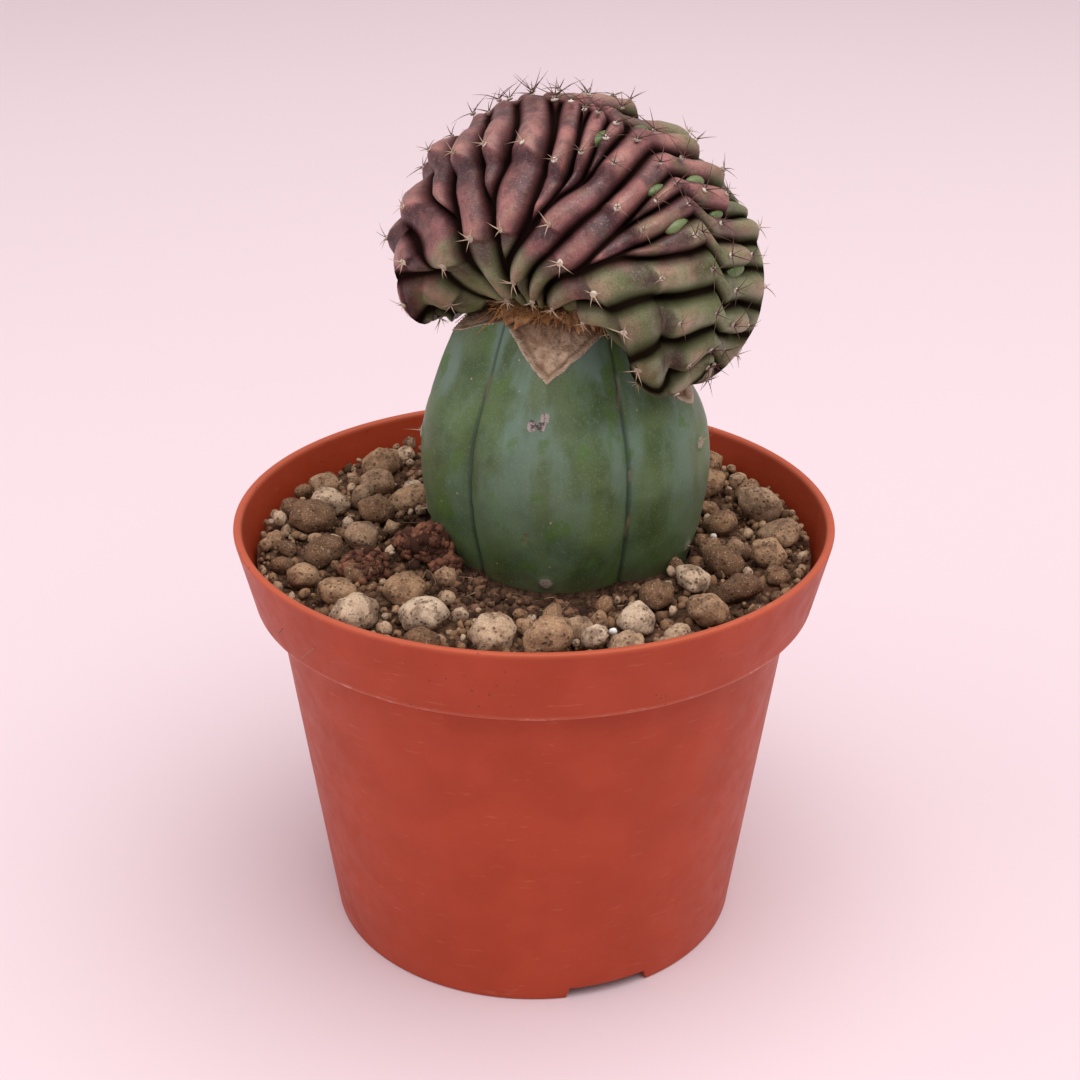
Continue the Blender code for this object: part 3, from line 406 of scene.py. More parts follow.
CLOD_CRUMBS = 420                              # on each clod
SOIL_FIBRES = 110
SOIL_LUMPS = ((3.4 * MM, 0.55 * MM, 1), (1.5 * MM, 0.5 * MM, 2), (0.75 * MM, 0.34 * MM, 3))
BARE_SOIL_ANGLE = math.radians(-35)            # front left, where no grit hides the soil


def lumps(points, size, seed):
    """Smooth random numbers from -1 to 1: random values on a cubic lattice of a size, blended
    between its points by smoothstep."""
    table = np.random.default_rng(seed).uniform(-1, 1, (32, 32, 32))
    scaled = points / size
    cell = np.floor(scaled).astype(int)
    share = smoothstep(scaled - cell)
    total = 0
    for corner in np.ndindex(2, 2, 2):
        weight = np.where(corner, share, 1 - share).prod(axis=-1)
        x, y, z = np.moveaxis((cell + corner) % 32, -1, 0)
        total = total + weight * table[x, y, z]
    return total


def stock_ridge_radius(height):
    """Radius over the ribs: cubic curves through the profile, with even slopes at its points."""
    heights, radii = STOCK_PROFILE.T
    slopes = np.gradient(radii, heights)
    k = np.clip(np.searchsorted(heights, height) - 1, 0, len(heights) - 2)
    run = heights[k + 1] - heights[k]
    t = np.clip((height - heights[k]) / run, 0, 1)
    start = radii[k] * (1 + 2 * t) * (1 - t) ** 2 + radii[k + 1] * t * t * (3 - 2 * t)
    return start + run * (slopes[k] * t * (1 - t) ** 2 - slopes[k + 1] * t * t * (1 - t))


def stock_section(angle):
    """Share of the ridge radius at an angle from the front: five round ribs, creased grooves."""
    turn = 2.5 * (angle - STOCK_RIB_ANGLES[0])
    return 1.0 - STOCK_GROOVE * (1.0 - np.abs(np.cos(turn)) ** 0.7)


def soil_height(x, y):
    """Height of the soil: nearly level, gently uneven, with a mound against the stock's left."""
    swell = 0.5 * MM * np.sin(x / (7 * MM) + 0.6) * np.cos(y / (6 * MM) - 0.4)
    away = np.hypot(x - MOUND_CENTRE[0], y - MOUND_CENTRE[1]) / MOUND_RADIUS
    return SOIL_LEVEL + swell + MOUND_HEIGHT * np.exp(-away ** 2)


def wall_distance(angle, radius):
    """How far the circle of a radius about the pot's axis lies from the stock's axis, by angle."""
    along = STOCK_AXIS[0] * np.sin(angle) - STOCK_AXIS[1] * np.cos(angle)
    offset = STOCK_AXIS[0] ** 2 + STOCK_AXIS[1] ** 2
    return -along + np.sqrt(along ** 2 - offset + radius ** 2)


def about_stock(angle, radius, height):
    """Points at angles from the front and radii about the stock's axis."""
    x = STOCK_AXIS[0] + radius * np.sin(angle)
    y = STOCK_AXIS[1] - radius * np.cos(angle)
    return np.stack(np.broadcast_arrays(x, y, height), axis=-1)


def relief(points, layers):
    """Lumps on lumps: each layer has a size, a depth and a seed."""
    return sum(depth * lumps(points, size, seed) for size, depth, seed in layers)


def rough_soil(points):
    return relief(points, SOIL_LUMPS)


def make_soil():
    """Rings about the stock's axis: across the pot's floor, up its wall, in over the lumpy top to
    the stock, and down the hole that the stock stands in."""
    angle = np.linspace(0, 2 * np.pi, SOIL_COLUMNS, endpoint=False)
    gap = 0.3 * MM
    floor = FLOOR_TOP + gap
    step = COLLAR_FOOT + 1.6 * WALL + 2 * gap
    wall = [(floor, pot_inner_radius(floor) - 1.4 * MM)]
    wall += [(height, pot_inner_radius(height) - gap) for height in (floor + 1.5 * MM, COLLAR_FOOT)]
    wall += [(step, pot_inner_radius(step) - 2 * gap)]
    rings = [about_stock(angle, wall_distance(angle, radius), height) for height, radius in wall]
    outer = wall_distance(angle, pot_inner_radius(SOIL_LEVEL) - 2 * gap)
    inner = stock_ridge_radius(SOIL_LEVEL) * stock_section(angle) + 0.1 * MM
    for share in np.linspace(0, 1, 70):
        ring = about_stock(angle, outer + share * (inner - outer), 0.0)
        ring[:, 2] = soil_height(ring[:, 0], ring[:, 1]) + rough_soil(ring) * smoothstep(share * 25)
        rings.append(ring)
    for height in STOCK_PROFILE[4:0:-1, 0] - 0.5 * MM:
        hole = stock_ridge_radius(height) * stock_section(angle) + gap
        rings.append(about_stock(angle, hole, height))
    start = (*STOCK_AXIS, floor)
    end = (*STOCK_AXIS, STOCK_PROFILE[1, 0] - 1.5 * MM)
    return closed_skin("soil_fill", np.array(rings), start, end)


def ball(subdivisions):
    """Points and faces of a ball of radius 1, of even triangles."""
    bm = bmesh.new()
    bmesh.ops.create_icosphere(bm, subdivisions=subdivisions, radius=1.0)
    points = np.array([vert.co[:] for vert in bm.verts])
    faces = np.array([[vert.index for vert in face.verts] for face in bm.faces])
    bm.free()
    return points, faces


def random_turns(rng, count):
    """Evenly spread turns about all axes, as one matrix each, from random unit quaternions."""
    w, x, y, z = (q := rng.normal(size=(4, count))) / np.linalg.norm(q, axis=0)
    rows = (
        (1 - 2 * (y * y + z * z), 2 * (x * y - z * w), 2 * (x * z + y * w)),
        (2 * (x * y + z * w), 1 - 2 * (x * x + z * z), 2 * (y * z - x * w)),
        (2 * (x * z - y * w), 2 * (y * z + x * w), 1 - 2 * (x * x + y * y)),
    )
    return np.moveaxis(np.array(rows), -1, 0)


def scatter(name, shapes, faces, values=None):
    """One piece of many small bodies: all their points, and the same faces for each of them."""
    count, size = shapes.shape[:2]
    all_faces = faces[None] + size * np.arange(count)[:, None, None]
    spread = {
        label: np.broadcast_to(np.asarray(numbers).reshape(count, -1), (count, size))
        for label, numbers in (values or {}).items()
    }
    return new_piece(name, shapes, [all_faces.reshape(-1, faces.shape[1])], spread)


def soil_places(rng, count, spread):
    """Random places on the soil, thickest by the stock's front left, with its height there."""
    angle = BARE_SOIL_ANGLE + spread * rng.normal(size=count)
    inner = stock_ridge_radius(SOIL_LEVEL + 2 * MM) * stock_section(angle) + 0.4 * MM
    outer = wall_distance(angle, pot_inner_radius(SOIL_LEVEL) - 1.2 * MM)
    points = about_stock(angle, inner + (outer - inner) * rng.random(count) ** 1.3, 0.0)
    points[:, 2] = soil_height(points[:, 0], points[:, 1])
    points[:, 2] += rough_soil(points * (1, 1, 0))
    return points


def make_crumbs(name, centres, rng):
    """Loose crumbs at some places: twenty-sided bodies of uneven radius, pressed a little flat."""
    points, faces = ball(1)
    count = len(centres)
    size = (0.22 + 0.8 * rng.random(count) ** 2.6) * MM
    shapes = points * rng.uniform(0.6, 1.25, (count, len(points), 1))
    shapes = shapes * rng.uniform(0.6, 1.2, (count, 1, 3))
    shapes = np.einsum("nij,nkj->nki", random_turns(rng, count), shapes)
    shapes = centres[:, None] + shapes * size[:, None, None]
    shapes[..., 2] += 0.2 * size[:, None]
    return scatter(name, shapes, faces, {"tint": rng.random(count)})


def make_clods():
    """Clods of reddish peat beside the stock: squashed balls with lumps of three sizes."""
    points, faces = ball(5)
    x, y, z, radius = np.array(CLODS).T * MM
    shapes = points * radius[:, None, None] * CLOD_SQUASH
    middle = np.stack((x, y, z), axis=1)[:, None]
    shapes = shapes + points * rough_soil(shapes + 3 * middle)[..., None]
    return scatter("soil_clods", shapes + middle, faces)


def clod_places(rng):
    """Places all over the clods' sides, where crumbs stick to them."""
    x, y, z, radius = np.array(CLODS).T * MM
    out = unit(rng.normal(size=(len(CLODS), CLOD_CRUMBS, 3))) * CLOD_SQUASH
    places = out * radius[:, None, None] * rng.uniform(0.9, 1.15, (len(CLODS), CLOD_CRUMBS, 1))
    return (places + np.stack((x, y, z), axis=1)[:, None]).reshape(-1, 3)


def bent_needles(roots, heads, lengths, radii, bend, sides, rings, taper):
    """Thin round bodies along bent paths. A point at share t of the way lies at the root plus
    t times the length along the heading plus t squared times the length along the bend; the
    radius shrinks with t to the taper's share at the tip. Both ends close in a point."""
    count = len(roots)
    t = np.linspace(0, 1, rings)
    straight = heads[:, None] * (lengths[:, None] * t)[..., None]
    path = roots[:, None] + straight + bend[:, None] * (lengths[:, None] * t ** 2)[..., None]
    tangent = unit(heads[:, None] + 2 * bend[:, None] * t[:, None])
    helper = np.where(np.abs(heads[:, 2:]) < 0.8, (0.0, 0.0, 1.0), (1.0, 0.0, 0.0))
    side = unit(np.cross(tangent, helper[:, None]))
    other = np.cross(tangent, side)
    turn = 2 * np.pi * np.arange(sides) / sides
    radius = radii[:, None] * (1 - (1 - taper) * t)
    around = side[:, :, None] * np.cos(turn)[:, None] + other[:, :, None] * np.sin(turn)[:, None]
    tube = path[:, :, None] + around * radius[:, :, None, None]
    shapes = np.concatenate((tube.reshape(count, -1, 3), path[:, :1], path[:, -1:]), axis=1)
    body, root_fan, tip_fan = skin_faces(rings, sides)
    faces = np.concatenate((body[:, [0, 1, 2]], body[:, [0, 2, 3]], root_fan, tip_fan))
    along = np.concatenate((np.repeat(t, sides), (0.0, 1.0)))
    return shapes, faces, np.broadcast_to(along, (count, len(along)))


def make_fibres():
    """Dry root fibres that lie bent on the soil."""
    rng = np.random.default_rng(31)
    roots = soil_places(rng, SOIL_FIBRES, 1.0)
    roots[:, 2] += 0.5 * MM
    heading = rng.uniform(0, 2 * np.pi, SOIL_FIBRES)
    rise = rng.uniform(-0.1, 0.35, SOIL_FIBRES)
    heads = np.stack((np.sin(heading), np.cos(heading), rise), axis=1)
    bend = rng.normal(size=(SOIL_FIBRES, 3)) * (0.35, 0.35, 0.1) - (0, 0, 0.25)
    lengths = rng.uniform(1.5, 5.0, SOIL_FIBRES) * MM
    radii = rng.uniform(0.05, 0.1, SOIL_FIBRES) * MM
    shapes, faces, _ = bent_needles(roots, heads, lengths, radii, bend, 4, 7, 0.5)
    return scatter("soil_fibres", shapes, faces, {"tint": rng.random(SOIL_FIBRES)})


def soil_finish():
    """Damp peat: dark brown crumbs with redder and paler ones, dull and rough."""
    f = Finish("peaty_soil", Roughness=0.95, Specular_IOR_Level=0.2)
    dark, light = (0.040, 0.019, 0.010), (0.200, 0.105, 0.062)
    colour = f.patches(dark, light, 1.3 * MM, 0.35, 0.7, detail=8, rough=0.7)
    red = f.span(f.noise(7 * MM, detail=3), 0.5, 0.7)
    colour = f.stain(colour, (0.13, 0.045, 0.026), red, 0.45)
    bits = f.span(f.cells(1.6 * MM), 0.1, 0.22, 1, 0)
    f.set("Base Color", f.stain(colour, (0.24, 0.13, 0.075), bits, 0.5))
    f.set("Normal", f.bump(f.noise(0.5 * MM, detail=8, rough=0.75), 0.35 * MM, 0.9))
    return f


def crumb_finish(name, dark, light):
    """Loose bits of soil, fibre or felt, each of its own shade between dark and light."""
    f = Finish(name, Roughness=0.92, Specular_IOR_Level=0.25)
    shade = f.plus(f.value("tint"), f.times(f.noise(0.5 * MM, detail=5), 0.6))
    f.set("Base Color", f.mix(f.span(shade, 0.3, 1.4), dark, light))
    f.set("Normal", f.bump(f.noise(0.25 * MM, detail=6, rough=0.7), 0.1 * MM, 0.8))
    return f


soil = soil_finish().on(make_soil())
crumb_rng = np.random.default_rng(21)
crumbs = crumb_finish("soil_crumb", (0.045, 0.021, 0.012), (0.26, 0.135, 0.080)).on(
    make_crumbs("soil_crumbs", soil_places(crumb_rng, SOIL_CRUMBS, 1.1), crumb_rng)
)
red_peat = crumb_finish("red_peat", (0.050, 0.018, 0.010), (0.27, 0.110, 0.064))
clods = red_peat.on(make_clods())
clod_crumbs = red_peat.on(make_crumbs("clod_crumbs", clod_places(crumb_rng), crumb_rng))
fibres = crumb_finish("dry_fibre", (0.12, 0.06, 0.03), (0.5, 0.33, 0.2)).on(make_fibres())
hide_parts("soil")
for piece in (soil, crumbs, clods, clod_crumbs, fibres):
    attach(piece, "root")

# Grit: the top dressing of tumbled pumice, tan to grey and full of pores, with a few bits
# of white perlite. It was strewn round the stock in a layer one or two stones deep, and
# thins out towards the bare soil at the front left.

BARE_SOIL_WIDTH = 9.0 * MM
BARE_SOIL_RAGGED = 0.6 * MM
BED_THICKNESS = 0.7 * MM
BED_LIFT = 0.45 * MM
BED_CRUMBS = 4200
GRIT_SEED = 5
GRIT_STONES = 100
STONE_SIZES = (3.8 * MM, 8.2 * MM)
STONE_TRIES = 60
STONE_SPACING = 0.47                           # least distance, of two stones' sizes together
STONE_UNEVEN = (0.86, 1.08)                    # how far its corners lie out, of half its size
STONE_FLAT = (0.62, 0.85)                      # its height, of its size
STONE_TILT = 0.4                               # radians
STONE_SINK = 0.5 * MM
STONE_EDGE = 14.0                              # higher for sharper edges between a stone's faces
STONE_LUMPS = ((1.3, 0.15, 40), (0.5, 0.07, 41), (0.2, 0.045, 42))   # in shares of its radius
STONE_SHARE = 0.94                             # of its corners' size, to allow for the lumps
CHIP_COUNT = 1500
CHIP_SIZES = (1.1 * MM, 4.8 * MM)
CHIP_SPACING = 0.43                            # least distance, of two chips' sizes together
CHIP_STRAY = 2.2 * MM                          # how far chips lie inside the grit's edge
CHIP_SINK = 0.25 * MM
CHIP_PILE = 1.1 * MM                           # how high chips lie on one another
CHIP_SHARE = 1.05
PERLITE_COUNT = 5
PERLITE_LIFT = 2.6 * MM                        # above the soil
PUMICE_SHADES = (                              # tan, cream and grey: place in the range and colour
    (0.00, (0.130, 0.062, 0.030)), (0.25, (0.290, 0.155, 0.078)), (0.48, (0.460, 0.275, 0.155)),
    (0.62, (0.350, 0.215, 0.130)), (0.80, (0.580, 0.390, 0.250)), (1.00, (0.720, 0.540, 0.390)),
)


def bare_soil_width(angle):
    """Width of the bare soil round the stock, widest at the front left."""
    return 1.3 * MM + BARE_SOIL_WIDTH * np.clip(np.cos(angle - BARE_SOIL_ANGLE), 0, None) ** 1.5


def grit_reach(angle):
    """Inner and outer radius of the grit from the stock's axis, at an angle from the front."""
    ridge = np.interp(SOIL_LEVEL + 6 * MM, *STOCK_PROFILE.T)
    inner = ridge * stock_section(angle) + bare_soil_width(angle)
    inner = inner + BARE_SOIL_RAGGED * (np.sin(5 * angle + 1) + 0.6 * np.sin(11 * angle))
    return inner, wall_distance(angle, pot_inner_radius(SOIL_LEVEL) - 0.45 * MM)


def stone_places(rng):
    """Seeded places and sizes of the stones: large ones first, none too near another."""
    low, high = STONE_SIZES
    sizes = [low + (high - low) * rng.random() ** 1.6 for _ in range(GRIT_STONES)]
    placed = []
    for size in sorted(sizes, reverse=True):
        for _ in range(STONE_TRIES):
            angle = rng.uniform(-math.pi, math.pi)
            inner, outer = grit_reach(np.array(angle))
            inner = float(inner) + 0.5 * size
            outer = float(outer) - 0.56 * size
            if outer <= inner:
                continue
            radius = math.sqrt(rng.uniform(inner ** 2, outer ** 2))
            x = STOCK_AXIS[0] + radius * math.sin(angle)
            y = STOCK_AXIS[1] - radius * math.cos(angle)
            gaps = [math.hypot(x - px, y - py) / (size + other) for px, py, other in placed]
            if min(gaps, default=1) > STONE_SPACING:
                placed.append((x, y, size))
                break
    return placed


def stone_corners(rng, places):
    """Twelve corners of each stone about its middle: a ball's, uneven, flattened and turned."""
    corners, _ = ball(1)
    stones = []
    for _, _, size in places:
        uneven = np.array([rng.uniform(*STONE_UNEVEN) for _ in corners])[:, None]
        shape = corners * size / 2 * uneven * (1.08, 0.95, rng.uniform(*STONE_FLAT))
        tilts = [rng.uniform(-STONE_TILT, STONE_TILT) for _ in range(2)]
        turn = Euler((*tilts, rng.uniform(0, 6.3)))
        stones.append(shape @ np.array(turn.to_matrix()).T)
    return np.array(stones)


def round_off(corners, faces, directions):
    """Rounds many-sided stones. Seen from its middle in a direction d, a stone's surface lies at
    the radius (sum over its faces of (n.d / h) to the power p) to the power -1/p, where n is a
    face's normal, h its distance from the middle and p how sharp the edges stay."""
    a, b, c = (corners[:, faces[:, k]] for k in range(3))
    normals = unit(np.cross(b - a, c - a))
    distances = (normals * a).sum(axis=-1)
    facing = np.einsum("sfk,dk->sdf", normals, directions) / distances[:, None]
    radius = (np.clip(facing, 0, None) ** STONE_EDGE).sum(axis=-1) ** (-1 / STONE_EDGE)
    return directions * radius[..., None]


def weathered(stones, sizes, offset):
    """Stones with lumps and hollows over their surface, each lump a share of the stone's size."""
    at = stones / sizes[:, None, None] * 2 + offset[:, None]
    return stones * (1 + relief(at, STONE_LUMPS)[..., None])


def make_stones():
    """The large stones: flat-sided bodies with their edges rounded off, rough, set in the layer."""
    rng = random.Random(GRIT_SEED)
    places = stone_places(rng)
    corners = stone_corners(rng, places)
    x, y, size = np.array(places).T
    directions, fine_faces = ball(4)
    _, coarse_faces = ball(1)
    shapes = round_off(corners, coarse_faces, directions) * STONE_SHARE
    loose = np.random.default_rng(51)
    shapes = weathered(shapes, size, loose.uniform(0, 30, (len(places), 3)))
    layer_top = soil_height(x, y) + BED_LIFT + BED_THICKNESS
    middle = np.stack((x, y, layer_top - STONE_SINK - corners[..., 2].min(axis=1)), axis=1)
    tint = loose.random(len(places))
    return scatter("grit_stones", shapes + middle[:, None], fine_faces, {"tint": tint}), middle, size


def chip_places(rng, stones, stone_sizes):
    """Places and sizes of the small grit: strewn at random, and dropped where it would sit in
    a stone or in a chip that lies there already."""
    sizes = CHIP_SIZES[0] + (CHIP_SIZES[1] - CHIP_SIZES[0]) * rng.random(6 * CHIP_COUNT) ** 1.4
    angle = rng.uniform(-np.pi, np.pi, len(sizes))
    inner, outer = grit_reach(angle)
    inner = inner - CHIP_STRAY * rng.random(len(sizes)) ** 2
    radius = np.sqrt(inner ** 2 + (outer - 0.5 * sizes) ** 2 * rng.random(len(sizes)))
    radius = np.minimum(radius, outer - 0.5 * sizes)
    spots = about_stock(angle, radius, 0.0)[:, :2]
    away = np.linalg.norm(spots[:, None] - stones[None, :, :2], axis=-1)
    free = (away > 0.44 * stone_sizes + 0.3 * sizes[:, None]).all(axis=1)
    spots, sizes = spots[free], sizes[free]
    kept = []
    for k, (spot, size) in enumerate(zip(spots, sizes)):
        near = np.linalg.norm(spots[kept] - spot, axis=-1) < CHIP_SPACING * (sizes[kept] + size)
        if not near.any():
            kept.append(k)
    kept = kept[:CHIP_COUNT]
    return spots[kept], sizes[kept]


def make_chips(stones, stone_sizes):
    """The small grit between the stones: rounded bodies of few faces."""
    rng = np.random.default_rng(52)
    spots, sizes = chip_places(rng, stones, stone_sizes)
    count = len(spots)
    directions, faces = ball(2)
    corners, coarse_faces = ball(1)
    corners = corners * rng.uniform(0.66, 1.22, (count, len(corners), 1))
    corners = corners * rng.uniform(0.7, 1.15, (count, 1, 3)) * sizes[:, None, None] / 2
    corners = np.einsum("nij,nkj->nki", random_turns(rng, count), corners)
    shapes = round_off(corners, coarse_faces, directions) * CHIP_SHARE
    height = soil_height(*spots.T) + BED_LIFT + BED_THICKNESS - CHIP_SINK
    height = height - corners[..., 2].min(axis=1) + CHIP_PILE * rng.random(count) ** 3
    middle = np.concatenate((spots, height[:, None]), axis=1)
    tint = rng.random(count)
    return scatter("grit_chips", shapes + middle[:, None], faces, {"tint": tint})


def make_bed():
    """The layer that the stones stand in: a ring over the soil, its top rough, its rim thin."""
    angle = np.linspace(0, 2 * np.pi, SOIL_COLUMNS, endpoint=False)
    inner, outer = grit_reach(angle)
    rings = []
    under = [(share, 0.0) for share in np.linspace(1, 0, 20)]
    over = [(share, 1.0) for share in np.linspace(0, 1, 60)[1:]]
    for share, rise in under + over:
        ring = about_stock(angle, inner + share * (outer - inner), 0.0)
        edge = smoothstep(share * 12) * rise
        ring[:, 2] = soil_height(ring[:, 0], ring[:, 1]) + BED_LIFT * 0.5
        ring[:, 2] += edge * (BED_THICKNESS + BED_LIFT * 0.5 + 1.1 * rough_soil(ring))
        rings.append(ring)
    rings = np.array(rings)[::-1]
    rows, columns = rings.shape[:2]
    faces = grid_faces(rows, columns)
    here = np.arange(columns)
    beside = (here + 1) % columns
    last = (rows - 1) * columns
    seam = np.stack((last + here, last + beside, beside, here), axis=1)
    return new_piece("grit_bed", rings, [faces, seam])


def make_bed_crumbs():
    """Crumbs of soil that lie on the layer, between the stones."""
    rng = np.random.default_rng(55)
    angle = rng.uniform(-np.pi, np.pi, BED_CRUMBS)
    inner, outer = grit_reach(angle)
    outer = outer - 0.6 * MM
    radius = np.sqrt(inner ** 2 + (outer ** 2 - inner ** 2) * rng.random(BED_CRUMBS))
    points = about_stock(angle, radius, 0.0)
    rough = 1.1 * rough_soil(points * (1, 1, 0))
    points[:, 2] = soil_height(points[:, 0], points[:, 1]) + BED_THICKNESS + BED_LIFT + rough
    return make_crumbs("bed_crumbs", points, rng)


def pumice_finish():
    """Dry porous stone: each stone of its own tan, cream or grey, speckled, with dark pores and
    soil dust in its hollows."""
    f = Finish("pumice", Roughness=0.92, Specular_IOR_Level=0.25)
    ramp = f.tree.nodes.new("ShaderNodeValToRGB")
    elements = ramp.color_ramp.elements
    elements.remove(elements[1])
    for k, (place, colour) in enumerate(PUMICE_SHADES):
        element = elements[0] if k == 0 else elements.new(place)
        element.position = place
        element.color = (*colour, 1.0)
    blend = f.wander(0.35, 1.6 * MM, detail=4)
    f.tree.links.new(f.plus(f.value("tint"), blend), ramp.inputs[0])
    speckle = f.noise(0.28 * MM, detail=3, rough=0.7)
    colour = f.mix(f.span(speckle, 0.54, 0.66, 0, 0.55), ramp.outputs[0], (0.17, 0.11, 0.075))
    colour = f.mix(f.span(speckle, 0.46, 0.34, 0, 0.4), colour, (0.78, 0.64, 0.52))
    pores = f.span(f.cells(0.7 * MM), 0.16, 0.36, 1, 0)
    pores = f.times(pores, f.span(f.noise(2.4 * MM, detail=1), 0.36, 0.55))
    colour = f.stain(colour, (0.09, 0.05, 0.032), pores, 0.65)
    dust = f.span(f.noise(2.4 * MM, detail=8, rough=0.7), 0.46, 0.62)
    f.set("Base Color", f.stain(colour, (0.13, 0.066, 0.038), dust, 0.7))
    grain = f.bump(f.noise(0.5 * MM, detail=8, rough=0.75), 0.3 * MM, 0.9)
    f.set("Normal", f.bump(pores, -0.25 * MM, 0.9, under=grain))
    return f


def make_perlite(stones, stone_sizes):
    """A few bits of white perlite: small light crumbs that lie on top."""
    rng = np.random.default_rng(53)
    points, faces = ball(2)
    spots, _ = chip_places(rng, stones, stone_sizes)
    spots = spots[:PERLITE_COUNT]
    size = rng.uniform(0.5, 1.15, PERLITE_COUNT) * MM
    uneven = 0.22 * lumps(points + rng.uniform(0, 9, (PERLITE_COUNT, 1, 3)), 0.7, 54)
    shapes = points * (1 + uneven)[..., None]
    middle = np.concatenate((spots, soil_height(*spots.T)[:, None] + PERLITE_LIFT), axis=1)
    shapes = shapes * size[:, None, None] + middle[:, None]
    return scatter("perlite_bits", shapes, faces, {"tint": rng.random(PERLITE_COUNT)})


stones, stone_middles, stone_sizes = make_stones()
pumice = pumice_finish()
pumice.on(stones)
chips = pumice.on(make_chips(stone_middles, stone_sizes))
bed = soil_finish().on(make_bed())
bed_crumb = crumb_finish("bed_crumb", (0.055, 0.026, 0.013), (0.340, 0.190, 0.105))
bed_crumbs = bed_crumb.on(make_bed_crumbs())
perlite = crumb_finish("perlite", (0.72, 0.68, 0.64), (0.9, 0.88, 0.86)).on(
    make_perlite(stone_middles, stone_sizes)
)
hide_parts("grit")
for piece in (stones, chips, bed, bed_crumbs, perlite):
    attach(piece, "root")

# Stock: a short length of a blue-green columnar cactus with five ribs, waxy and smooth,
# with a pale bloom. Its top was cut flat for the graft and its rib tops cut off on the
# slant; the cuts have dried to tan cork with pale raised edges. It roots in the soil.

STOCK_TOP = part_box("stock")[1].z
STOCK_TOP_RADIUS = 8.8 * MM
STOCK_SCAR_HEIGHTS = (87.0 * MM, 81.5 * MM, 85.0 * MM, 84.0 * MM, 89.5 * MM)
STOCK_COLUMNS = 420
STOCK_ROWS = 200
STOCK_WIDEST = 72.0 * MM                       # height
FLAT_SIDES = (77.0 * MM, 88.0 * MM)            # between these heights the round sides turn flat
FLATNESS = 0.85
SKIN_LUMPS = ((5 * MM, 0.16 * MM, 61), (1.6 * MM, 0.05 * MM, 62))
SCAR_RIM = 0.13 * MM                           # depth of cut over which the raised edge runs
SCAR_RIM_HEIGHT = 0.3 * MM
SCAR_HOLLOW = 0.55 * MM
SCAR_LUMPS = ((1.1 * MM, 0.3 * MM, 64), (0.5 * MM, 0.15 * MM, 65))
CUT_LUMPS = ((1.8 * MM, 0.25 * MM, 63),)
STOCK_AREOLES = (                              # felt pads: angle from the front, and height in mm
    (-9.0, 59.0), (-80.0, 75.1), (-82.0, 63.0), (62.0, 76.0), (60.0, 60.5),
    (134.0, 79.0), (134.0, 62.0), (206.0, 78.0), (206.0, 61.0),
)
AREOLE_RADIUS = 0.9 * MM
AREOLE_HEIGHT = 0.24 * MM
STOCK_SPINES_EACH = 4                          # on an areole
STOCK_SPINE_LENGTHS = (0.7, 2.0)               # mm
OLD_SCARS = ((-10.0, 82.9), (-11.5, 81.9), (-15.5, 81.7))    # a dead areole and a nick beside it
OLD_SCAR_RADIUS = 0.88 * MM
OLD_SCAR_HEIGHT = 0.1 * MM
OLD_SCAR_LUMPS = ((0.7 * MM, 0.22 * MM, 66),)
CRACK_DEPTH = 0.22 * MM
CRACKS = (                                     # in the bloom: angle, height and length in mm
    (26.5, 66.5, 4.2), (26.5, 74.0, 2.0), (-16.5, 66.0, 2.0), (-45.5, 84.0, 5.0), (26.0, 84.5, 5.5),
)


def scar_slope(apex):
    """How steeply a rib's slanted cut falls from the flat top to its lowest point."""
    return (STOCK_TOP - apex) / (np.interp(apex, *STOCK_PROFILE.T) - STOCK_TOP_RADIUS)


def scar_planes(angle, height):
    """Distance from the axis to the slanted cuts of the rib tops, at an angle and height: the
    nearest cut's distance along its rib, over the cosine of the angle to that rib."""
    nearest = np.full(np.broadcast(angle, height).shape, 1.0)
    for rib, apex in zip(STOCK_RIB_ANGLES, STOCK_SCAR_HEIGHTS):
        cosine = np.cos(angle - rib)
        along = STOCK_TOP_RADIUS + (STOCK_TOP - height) / scar_slope(apex)
        nearest = np.minimum(nearest, np.where(cosine > 0.1, along / np.maximum(cosine, 0.1), 1.0))
    return nearest


def stock_spots(angle, height, spots, radius):
    """Closeness, from 0 to 1, of points on the column to marks at angles and heights: a bell
    curve of their distance over the mark's radius."""
    near = 0
    for degrees, level in spots:
        across = stock_ridge_radius(height) * half_turn(angle - math.radians(degrees))
        near = np.maximum(near, np.exp(-(np.hypot(across, height - level * MM) / radius) ** 2))
    return near


def stock_cracks(angle, height):
    """Closeness to fine upright cracks: narrow across, long up and down."""
    near = 0
    for degrees, level, length in CRACKS:
        wander = 0.25 * MM * np.sin(height / (0.9 * MM) + degrees)
        across = stock_ridge_radius(height) * half_turn(angle - math.radians(degrees)) - wander
        up = np.abs(height - level * MM) / (length * MM / 2)
        near = np.maximum(near, np.exp(-(across / (0.17 * MM)) ** 2) * smoothstep(2 - 2 * up))
    return near


